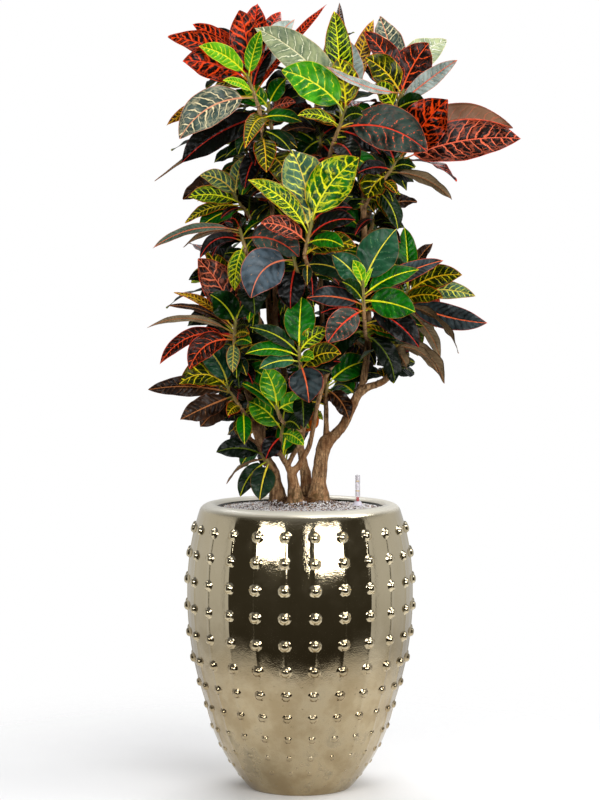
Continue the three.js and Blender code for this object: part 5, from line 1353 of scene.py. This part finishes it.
def gnarled(places_in, seed):
    """Swells a stem at its old leaf scars and at its foot, and wanders its radius a little."""
    walked = 0.0
    last = places_in[0][0]
    for place, radius in places_in:
        walked += (place - last).length
        last = place
        scar = max(0.0, math.cos(math.tau * walked / (9 + radius))) ** 6
        lump = noise.noise(Vector((walked * 0.035, seed * 3.7, 0.5)))
        flare = min(1.0, max(0.0, (FLARE_TOP - place.z) / FLARE_HEIGHT))
        yield place, radius * (1 + 0.08 * scar + 0.12 * lump + 0.35 * flare * flare)


def branch_tree(bark):
    """Round bars along lines whose thickness is stored at their points."""
    tree, given = geometry_tree("branches", Sides=("Int", 14))
    line = added(tree, "GeometryNodeMeshToCurve", Mesh=given["Geometry"])["Curve"]
    circle = added(tree, "GeometryNodeCurvePrimitiveCircle", Resolution=given["Sides"], Radius=1.0)["Curve"]
    thick = added(tree, "GeometryNodeInputNamedAttribute", Name="thick")["Attribute"]
    skin = added(tree, "GeometryNodeCurveToMesh", Curve=line, Profile_Curve=circle, Scale=thick,
                 Fill_Caps=True)["Mesh"]
    put_out(tree, skin, bark)
    return tree


def roughen(mesh):
    """Moves a bark mesh in and out by fractions of a millimetre."""
    places_now = np.empty(3 * len(mesh.vertices))
    ways = np.empty(3 * len(mesh.vertices))
    mesh.vertices.foreach_get("co", places_now)
    mesh.vertices.foreach_get("normal", ways)
    places_now, ways = places_now.reshape(-1, 3), ways.reshape(-1, 3)
    upright = Vector((1, 1, 0.22))
    lumps = [0.6 * noise.noise(Vector(spot) * 100) + 0.5 * noise.noise(Vector(spot) * upright * 190)
             + 0.25 * noise.noise(Vector(spot) * 320) for spot in places_now]
    places_now += ways * np.array(lumps)[:, None] * MM
    mesh.vertices.foreach_set("co", places_now.ravel())
    mesh.update()


def stem_piece(name, lines, tree, bark):
    """A rooted stem and its branches, fused into one skin with bark relief."""
    vertices, edges, thick = [], [], []
    for seed, (line, shoot_name) in enumerate(lines):
        if shoot_name:
            shoot = SHOOTS[shoot_name]
            line = (*line, (*shoot["foot"], shoot["deep"], JOIN_RADIUS))
        first = len(vertices)
        for place, radius in gnarled(smooth_line(line), seed):
            vertices.append(place * MM)
            thick.append(radius * MM)
        edges += [(i, i + 1) for i in range(first, len(vertices) - 1)]
    made = grow(bare(name, vertices, edges, {"thick": ("FLOAT", thick)}), tree)
    remesh = made.modifiers.new("fused", "REMESH")
    remesh.mode = "VOXEL"
    remesh.voxel_size = BARK_GRAIN * MM
    remesh.use_smooth_shade = True
    rounded = made.modifiers.new("rounded", "SMOOTH")
    rounded.iterations = 4
    settled(made)
    roughen(made.data)
    made.data.materials.clear()
    made.data.materials.append(bark)
    made.data.shade_smooth()
    return made


# ---------------------------------------------------------------- planter
def wall_radius(z):
    """The wall's radius at a height, without its ridges."""
    if z >= BELLY_HEIGHT:
        rise = (z - BELLY_HEIGHT) / (SHOULDER_HEIGHT - BELLY_HEIGHT)
        return BELLY_RADIUS - (BELLY_RADIUS - SHOULDER_RADIUS) * rise ** 2.2
    curve = BELLY_RADIUS - (BELLY_RADIUS - FOOT_RADIUS) * ((BELLY_HEIGHT - z) / BELLY_HEIGHT) ** 2.08
    return curve + LOW_SWELL * math.sin(math.pi * min(max(z, 0) / LOW_SWELL_TOP, 1) ** 0.8)


def stud_heights():
    """The heights of the rows of studs: a row's pitch follows the studs' spacing round the wall."""
    heights = [FIRST_STUD_HEIGHT]
    step = 0.5
    while len(heights) < STUD_ROWS:
        z = heights[-1]
        pitch = ROW_PITCH * math.tau * wall_radius(z) / STUD_COLUMNS
        walked = 0
        while walked < pitch:
            walked += math.hypot(step, wall_radius(z - step) - wall_radius(z))
            z -= step
        heights.append(z)
    return heights


def pot_piece(glaze, dark):
    """The turned wall with its upright ridges, the rim, and the inside down to the floor."""
    heights = [0, 1.2, *[3 + 521 * i / WALL_STEPS for i in range(WALL_STEPS + 1)], 528.5]
    outline = [(wall_radius(z), z, True) for z in heights]
    outline += [(radius, z, False) for radius, z in (*RIM, *INSIDE)]
    turns = [math.tau * (c + 0.5 + cut) / STUD_COLUMNS for c in range(STUD_COLUMNS) for cut in RIDGE_CUTS]
    pitch = math.tau / STUD_COLUMNS
    vertices = []
    for radius, z, outside in outline:
        for turn in turns:
            out = radius
            if outside:
                off = ((turn / pitch) % 1 - 0.5) * pitch * radius
                fade = min(1, max(0, (z - 12) / 120)) * min(1, max(0, (522 - z) / 30))
                out += RIDGE_RELIEF * fade * math.exp(-(off / RIDGE_WIDTH) ** 2)
            vertices.append((out * math.sin(turn), -out * math.cos(turn), z))
    count = len(turns)
    faces = [*bands(len(outline), count), lid(0, count)[::-1], lid((len(outline) - 1) * count, count)]
    made = piece("planter_wall", vertices, faces, (glaze, dark))
    dark_from = (len(heights) + len(RIM) - 2) * count
    for face in made.data.polygons:
        if min(face.vertices) >= dark_from:
            face.material_index = 1
    return made


def stud_shape():
    """One stud of radius and height 1: a ball on a flared skirt that runs out into the wall."""
    vertices, faces = turned(STUD_PROFILE, STUD_SIDES)
    top = len(vertices)
    vertices.append((0, 0, 1.0))
    faces += spike(top - STUD_SIDES, STUD_SIDES, top)
    made = piece("one_stud", [tuple(c / MM for c in v) for v in vertices], faces, ())
    made.hide_render = True
    return made


def copies_tree(name, material):
    """Copies of a shape on points, each turned to the stored outward way and stretched to the stored size."""
    tree, given = geometry_tree(name, Shape=("Object", None))
    shape = added(tree, "GeometryNodeObjectInfo", Object=given["Shape"])["Geometry"]
    outward = added(tree, "GeometryNodeInputNamedAttribute", VECTORS, Name="outward")["Attribute"]
    size = added(tree, "GeometryNodeInputNamedAttribute", VECTORS, Name="size")["Attribute"]
    turned_to = added(tree, "FunctionNodeAlignRotationToVector", Vector=outward)["Rotation"]
    copies = added(tree, "GeometryNodeInstanceOnPoints", Points=given["Geometry"], Instance=shape,
                   Rotation=turned_to, Scale=size)["Instances"]
    put_out(tree, copies, material)
    return tree


def copies_piece(name, points, outward, sizes, shape, material):
    """Copies of a shape at points in metres."""
    made = bare(name, points, [], {"outward": ("FLOAT_VECTOR", outward), "size": ("FLOAT_VECTOR", sizes)})
    grow(made, copies_tree(name, material), Shape=shape)
    bpy.data.objects.remove(shape)
    made.data.shade_smooth()
    return made


def studs_piece(glaze):
    """Every stud of the planter, smaller and flatter in the low rows."""
    points, outward, sizes = [], [], []
    for r, z in enumerate(stud_heights()):
        wall = wall_radius(z)
        tilt = math.atan2(wall_radius(z + 1) - wall_radius(z - 1), 2)
        fade = min(1, max(0, (r + 1 - FULL_STUD_ROWS) / (STUD_ROWS - FULL_STUD_ROWS)))
        share = 1 - (1 - FADED_STUD) * fade
        for c in range(STUD_COLUMNS):
            turn = math.tau * (c + 0.5) / STUD_COLUMNS
            x, y = math.sin(turn), -math.cos(turn)
            points.append(Vector((wall * x, wall * y, z)) * MM)
            outward.append(Vector((x * math.cos(tilt), y * math.cos(tilt), -math.sin(tilt))))
            radius = STUD_RADIUS * share * MM
            sizes.append((radius, radius, STUD_RELIEF * share ** 2 * MM))
    return copies_piece("planter_studs", points, outward, sizes, stud_shape(), glaze)


# ---------------------------------------------------------------- gravel and roots
def in_roots(x, y, grown=0.0):
    """Whether a place is within the root ball's outline."""
    across = (x - ROOT_BALL["x"]) / (ROOT_BALL["wide"] + grown)
    deep = (y - ROOT_BALL["y"]) / (ROOT_BALL["deep"] + grown)
    return across * across + deep * deep < 1


def gravel_bed(stone):
    """The layer that the loose grains lie on."""
    sides = 64
    shares = (0.05, 0.2, 0.4, 0.6, 0.75, 0.88, 0.96, 1.0)
    top = GRAVEL_TOP - 1.2
    profile = [(GRAVEL_RADIUS * share, top + GRAVEL_HEAP * (1 - share * share)) for share in shares]
    floor = GRAVEL_TOP - GRAVEL_DEPTH
    profile = [(0.5, floor), (GRAVEL_RADIUS, floor), *reversed(profile)]
    vertices, faces = turned(profile, sides)
    faces += [lid(0, sides)[::-1], lid((len(profile) - 1) * sides, sides)]
    vertices = [(x, y, z + (0.8 * noise.noise(Vector((x, y, 0)) * 0.12) if z > GRAVEL_TOP - 10 else 0))
                for x, y, z in vertices]
    return piece("gravel_bed", vertices, faces, (stone,))


def gravel_tree(stone):
    """Grains thrown on a surface: turned and sized by chance, each with a stored tone."""
    tree, given = geometry_tree("gravel_grains", Grain=("Object", None), Seed=("Int", 7),
                                Spacing=("Float", GRAIN_SPACING * MM))
    spots = added(tree, "GeometryNodeDistributePointsOnFaces", {"distribute_method": "POISSON"},
                  Mesh=given["Geometry"], Distance_Min=given["Spacing"], Density_Max=400000.0,
                  Seed=given["Seed"])["Points"]
    grain = added(tree, "GeometryNodeObjectInfo", Object=given["Grain"])["Geometry"]
    turn = added(tree, "FunctionNodeRandomValue", VECTORS, Max=(math.tau, math.tau, math.tau))["Value"]
    size = added(tree, "FunctionNodeRandomValue", VECTORS, Min=(0.75, 0.7, 0.6),
                 Max=(1.35, 1.2, 1.0))["Value"]
    tone = added(tree, "FunctionNodeRandomValue", {"data_type": "FLOAT"})[1]
    copies = added(tree, "GeometryNodeInstanceOnPoints", Points=spots, Instance=grain, Rotation=turn,
                   Scale=size)["Instances"]
    toned = added(tree, "GeometryNodeStoreNamedAttribute", {"domain": "INSTANCE"}, Geometry=copies,
                  Name="tone", Value=tone)["Geometry"]
    put_out(tree, toned, stone)
    return tree


def grain_shape():
    """A rounded chip about 4 mm across."""
    mesh = bpy.data.meshes.new("one_grain")
    shape = bmesh.new()
    bmesh.ops.create_icosphere(shape, subdivisions=1, radius=GRAIN_RADIUS * MM)
    for i, vertex in enumerate(shape.verts):
        vertex.co *= 1 + 0.18 * math.sin(2.4 * i)
    shape.to_mesh(mesh)
    shape.free()
    made = bpy.data.objects.new("one_grain", mesh)
    bpy.context.scene.collection.objects.link(made)
    return made


def root_top(x, y):
    """The height of the root ball's lumpy top: higher round each stem and lower at its edge."""
    across = (x - ROOT_BALL["x"]) / ROOT_BALL["wide"]
    deep = (y - ROOT_BALL["y"]) / ROOT_BALL["deep"]
    z = ROOT_BALL["high"] - ROOT_SLOPE * (across * across + deep * deep) ** 2
    for lines in STEMS.values():
        x0, z0, depth, radius = lines[0][0][1]
        spot = seen(x0, z0, depth)
        z += 6.5 * math.exp(-max(math.hypot(x - spot.x, y - spot.y) - radius, 0) / 9)
    return z + 3.2 * noise.noise(Vector((x, y, 0)) * 0.09) + 2.2 * noise.noise(Vector((x, y, 5)) * 0.3)


def gravel_field():
    """The surface that the grains are thrown on: open where the root ball comes through."""
    rings, sides = 26, 96
    vertices = []
    for r in range(rings + 1):
        share = r / rings
        for k in range(sides):
            turn = math.tau * k / sides
            reach = (GRAVEL_RADIUS - 1.6) * share
            x, y = reach * math.cos(turn), reach * math.sin(turn)
            bed = GRAVEL_TOP - 0.4 + GRAVEL_HEAP * (1 - share * share)
            vertices.append((x, y, max(bed, root_top(x, y) + 0.6) if in_roots(x, y) else bed))
    faces = []
    for face in bands(rings + 1, sides):
        x, y = (sum(vertices[i][axis] for i in face) / 4 for axis in (0, 1))
        if not in_roots(x, y, -GRAVEL_OVERLAP):
            faces.append(face[::-1])
    return piece("gravel_grains", vertices, faces, ())


def gravel_piece(stone):
    """The loose grains."""
    grain = grain_shape()
    made = grow(gravel_field(), gravel_tree(stone), Grain=grain)
    bpy.data.objects.remove(grain)
    made.data.shade_smooth()
    return made


def root_piece(coir):
    """The felted top of the root ball: a lumpy mound, higher round each stem."""
    rings, sides = 22, 84
    vertices = []
    for r in range(rings + 1):
        share = r / rings
        for k in range(sides):
            turn = math.tau * k / sides
            edge = 1 + 0.06 * noise.noise(Vector((3 * math.cos(turn), 3 * math.sin(turn), 2)))
            x = ROOT_BALL["x"] + ROOT_BALL["wide"] * share * edge * math.cos(turn)
            y = ROOT_BALL["y"] + ROOT_BALL["deep"] * share * edge * math.sin(turn)
            vertices.append((x, y, root_top(x, y)))
    low = len(vertices)
    vertices += [(x, y, ROOT_GROUND) for x, y, _ in vertices[rings * sides:]]
    faces = [(a, d, c, b) for a, b, c, d in bands(rings + 2, sides)]
    faces.append(lid(low, sides)[::-1])
    return piece("root_felt", vertices, faces, (coir,))


def fibres_piece(coir, tree):
    """Loose root fibres that leave the root ball by a fixed rule."""
    vertices, edges, thick = [], [], []
    for i in range(FIBRES):
        turn = GOLDEN_ANGLE * i
        share = math.sqrt((i + 0.5) / FIBRES)
        x = ROOT_BALL["x"] + ROOT_BALL["wide"] * share * math.cos(turn)
        y = ROOT_BALL["y"] + ROOT_BALL["deep"] * share * math.sin(turn)
        z = ROOT_BALL["high"] - ROOT_SLOPE * share ** 4 + 1.5
        rise = 3.2 * (0.4 + 0.6 * math.sin(i) ** 2)
        first = len(vertices)
        for s in range(FIBRE_JOINTS):
            far = s * FIBRE_STEP
            bend = 2.4 * i + math.sin(i) + 0.22 * s * math.sin(1.7 * i)
            place = Vector((x + far * math.cos(bend), y + far * math.sin(bend), z + rise * math.sin(s * 0.6)))
            vertices.append(place * MM)
            thick.append((0.42 - 0.05 * s) * MM)
        edges += [(k, k + 1) for k in range(first, len(vertices) - 1)]
    made = grow(bare("root_fibres", vertices, edges, {"thick": ("FLOAT", thick)}), tree, Sides=4)
    made.data.materials.clear()
    made.data.materials.append(coir)
    made.data.shade_smooth()
    return made


# ---------------------------------------------------------------- water gauge
def turned_piece(name, profile, material, sides=32):
    """A piece turned about the gauge's own axis, closed on itself."""
    vertices, faces = turned([*profile, profile[0]], sides)
    count = len(profile) * sides
    faces = [tuple(i % count for i in face) for face in faces]
    vertices = [(x + GAUGE["x"], y + GAUGE["y"], z) for x, y, z in vertices[:count]]
    made = piece(name, vertices, faces, (material,))
    made.data.set_sharp_from_angle(angle=math.radians(40))
    return made


def mark_piece(name, middle, material):
    """A short bar printed on the front of the gauge's tube."""
    inside, outside = GAUGE["radius"] - 0.05, GAUGE["radius"] + 0.18
    low, high = middle - MARK_HALF, middle + MARK_HALF
    corners = ((inside, low), (outside, low), (outside, high), (inside, high))
    steps = 8
    vertices, faces = [], []
    for k in range(steps + 1):
        turn = MARK_TURN * (2 * k / steps - 1) - math.pi / 2
        vertices += [(GAUGE["x"] + reach * math.cos(turn), GAUGE["y"] + reach * math.sin(turn), z)
                     for reach, z in corners]
    for k in range(0, 4 * steps, 4):
        faces += [(k + j, k + 4 + j, k + 4 + (j + 1) % 4, k + (j + 1) % 4) for j in range(4)]
    faces += [(0, 1, 2, 3), tuple(4 * steps + j for j in (3, 2, 1, 0))]
    return piece(name, vertices, faces, (material,), smooth=False)


def gauge_pieces(clear, foot_plastic, red, yellow):
    """The gauge's tube, collar, float and printed marks."""
    r, bore, low, high = (GAUGE[key] for key in ("radius", "bore", "low", "high"))
    tube = turned_piece("gauge_clear_tube", [
        (bore, low), (r - 0.4, low), (r, low + 0.5), (r, high - 1.2), (r - 0.5, high - 0.3), (r - 1.4, high),
        (0.05, high), (0.05, high - 3), (bore, high - 3)], clear)
    foot = GAUGE_FOOT
    collar = turned_piece("gauge_collar", [
        (r + 0.35, foot["low"]), (foot["radius"] - 0.6, foot["low"]), (foot["radius"], foot["low"] + 0.7),
        (foot["radius"], foot["flange"] - 0.6), (foot["radius"] - 0.8, foot["flange"] + 0.4),
        (foot["neck"] + 0.8, foot["high"] - 1.4), (foot["neck"], foot["high"]), (r + 0.35, foot["high"])],
        foot_plastic)
    radius, stick, red_low = (FLOAT[key] for key in ("radius", "rod", "red_height"))
    low, top, red_top = FLOAT["low"], FLOAT["low"] + FLOAT["body"], red_low + FLOAT["red"]
    rod = turned_piece("gauge_float_rod", [
        (0.05, low), (radius - 0.6, low), (radius, low + 0.8), (radius, top - 0.6), (stick, top + 2),
        (stick, red_low - 1), (radius - 0.3, red_low), (radius, red_low + 0.6), (radius, red_top - 0.6),
        (radius - 0.7, red_top), (0.05, red_top)], red, 24)
    marks = [mark_piece(f"gauge_mark_{i + 1}", z, yellow) for i, z in enumerate(GAUGE_MARKS)]
    return tube, collar, rod, marks


# ---------------------------------------------------------------- picture
def add_camera():
    """The eye at the picture's place, and screen colours that are the lit colours themselves."""
    bpy.context.scene.view_settings.view_transform = "Standard"
    camera = bpy.data.cameras.new("eye")
    camera.sensor_fit = "VERTICAL"
    camera.sensor_height = 36
    camera.lens = LENS
    camera.clip_end = 50
    holder = bpy.data.objects.new("eye", camera)
    holder.location = (0, -EYE_DISTANCE * MM, EYE_HEIGHT * MM)
    holder.rotation_euler = (math.radians(90 - EYE_PITCH), 0, 0)
    bpy.context.scene.collection.objects.link(holder)
    bpy.context.scene.camera = holder


# Soft lights: bearing from the front, to the right, and height, in degrees; distance, width, height and
# the height on the plant's axis that each is aimed at, in metres; power.
SOFTBOXES = {
    "right_softbox": (27, 14, 3.2, 2.1, 1.1, 0.5, 62),
    "left_softbox": (-31, 17, 3.2, 1.6, 0.8, 0.5, 28),
    "side_softbox": (84, 42, 3.0, 1.6, 1.4, 0.9, 28),
    "top_softbox": (40, 64, 3.0, 2.0, 2.0, 1.0, 36),
    "back_softbox": (190, 52, 3.2, 2.8, 1.6, 1.0, 80),
}
FLOOR_SIDES = 96


def add_softbox(name, turn, rise, distance, wide, high, aim, power):
    """A lit panel turned to the plant."""
    light = bpy.data.lights.new(name, "AREA")
    light.shape = "RECTANGLE"
    light.size = wide
    light.size_y = high
    light.energy = power
    holder = bpy.data.objects.new(name, light)
    turn, rise = math.radians(turn), math.radians(rise)
    way = Vector((math.sin(turn) * math.cos(rise), -math.cos(turn) * math.cos(rise), math.sin(rise)))
    holder.location = Vector((0, 0, aim)) + way * distance
    holder.rotation_euler = way.to_track_quat("Z", "Y").to_euler()
    bpy.context.scene.collection.objects.link(holder)


def add_room():
    """Pale walls behind and at the sides, a dark one in front, and all of it pale for the eye."""
    world = bpy.data.worlds.new("studio")
    bpy.context.scene.world = world
    world.use_nodes = True
    tree = world.node_tree
    background = tree.nodes["Background"]
    way = tree.nodes.new("ShaderNodeTexCoord").outputs["Generated"]
    x, y, z = split(tree, way)
    level = (x * x + y * y).power(0.5)
    ahead = (y * -1.0) / level.math("MAXIMUM", 0.001)
    dark = ahead.step(0.06, 0.26) * z.step(0.62, 0.42)
    eye = Wire(tree, tree.nodes.new("ShaderNodeLightPath").outputs["Is Camera Ray"])
    sides = mixed(tree, z.step(0.25, 0.6), (0.56, 0.565, 0.58, 1), (0.16, 0.165, 0.18, 1))
    lit = mixed(tree, dark, sides, (0.04, 0.036, 0.027, 1))
    feed(tree, background.inputs["Color"], mixed(tree, eye, lit, (1, 1, 1, 1)))
    background.inputs["Strength"].default_value = 1.0


def add_floor():
    """A pale floor that fades into the pale surround, and ends before the plant towards the eye."""
    material, tree, put = finish("pale_floor", Roughness=0.9, Specular_IOR_Level=0.1)
    spot = places(tree)
    x, y, _ = split(tree, spot)
    far = (x * x + y * y).power(0.5)
    tone = noisy(tree, spot, 3, 2.0)
    kept = far.step(1.15, 0.34) * y.step(-0.66, -0.5)
    put(Base_Color=mixed(tree, tone, (0.9, 0.9, 0.9, 1), (0.93, 0.93, 0.93, 1)), Alpha=kept)
    vertices, faces = turned([(1, -0.4), (2000, -0.4)], FLOOR_SIDES)
    faces = [*(face[::-1] for face in faces), lid(0, FLOOR_SIDES)]
    made = piece("floor", vertices, faces, (material,))


# ---------------------------------------------------------------- put together
def main():
    """Makes every piece, puts it in place of the solids that it stands for, and lights it."""
    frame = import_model()
    solids = frame["nodes"]

    leaf, bark = leaf_finish(), bark_finish()
    glaze, dark = glaze_finish(), inside_shade_finish()
    stone, coir = stone_finish(), coir_finish()
    slots = {entry["node"]: entry["material_slot"] for entry in frame["record"]["subparts"]}

    stands_for(pot_piece(glaze, dark), "glaze", "pot")
    stands_for(studs_piece(glaze), "glaze")
    stands_for(gravel_bed(stone), "gravel", "gravel")
    stands_for(gravel_piece(stone), "gravel")
    stands_for(root_piece(coir), "coir", "root_ball")
    branches = branch_tree(bark)
    stands_for(fibres_piece(coir, branches), "coir")
    solids["substrate"].data.materials.clear()
    solids["substrate"].data.materials.append(soil_finish())

    red_low = FLOAT["red_height"] + 0.2
    clear = plastic_finish("clear_plastic", (252, 250, 252), (246, 242, 248), 0.62, 0.1, 1.12,
                           window=(red_low, red_low + FLOAT["red"]))
    tube, collar, rod, marks = gauge_pieces(
        clear, plastic_finish("collar_plastic", (204, 198, 212), (224, 220, 230)),
        plastic_finish("float_red", (196, 20, 16), (176, 16, 14), roughness=0.35),
        plastic_finish("mark_yellow", (226, 190, 92), (214, 176, 80), roughness=0.4))
    stands_for(tube, "clear_plastic", "gauge_tube")
    stands_for(collar, "clear_plastic", "gauge_foot")
    stands_for(rod, "red_plastic", "gauge_float")
    for mark in marks:
        stands_for(mark, "clear_plastic")

    for name, lines in STEMS.items():
        stands_for(stem_piece(f"{name}_wood", lines, branches, bark), slots[name], name)
    foliage = surface_of(*(solids[name] for name in SHOOTS))
    wood = [surface_of(solids[name]) for name in (*STEMS, "pot", "gravel", "root_ball", "gauge_tube")]
    placed = []
    for name, shoot in SHOOTS.items():
        leaves = leaves_of(shoot, solids[name])
        small_leaves = filling_leaves(name, foliage, wood, placed)
        if name == DRIED_LEAF["shoot"]:
            root, tip = seen(*DRIED_LEAF["root"]), seen(*DRIED_LEAF["tip"])
            small_leaves.append(Leaf(root, tip, DRIED_LEAF["width"], 0.9, 0.12, "rust", 0.0))
        stands_for(shoot_piece(name, shoot, leaves, small_leaves, leaf, bark), slots[name], name)

    add_camera()
    for name, place_and_power in SOFTBOXES.items():
        add_softbox(name, *place_and_power)
    add_room()
    add_floor()


main()
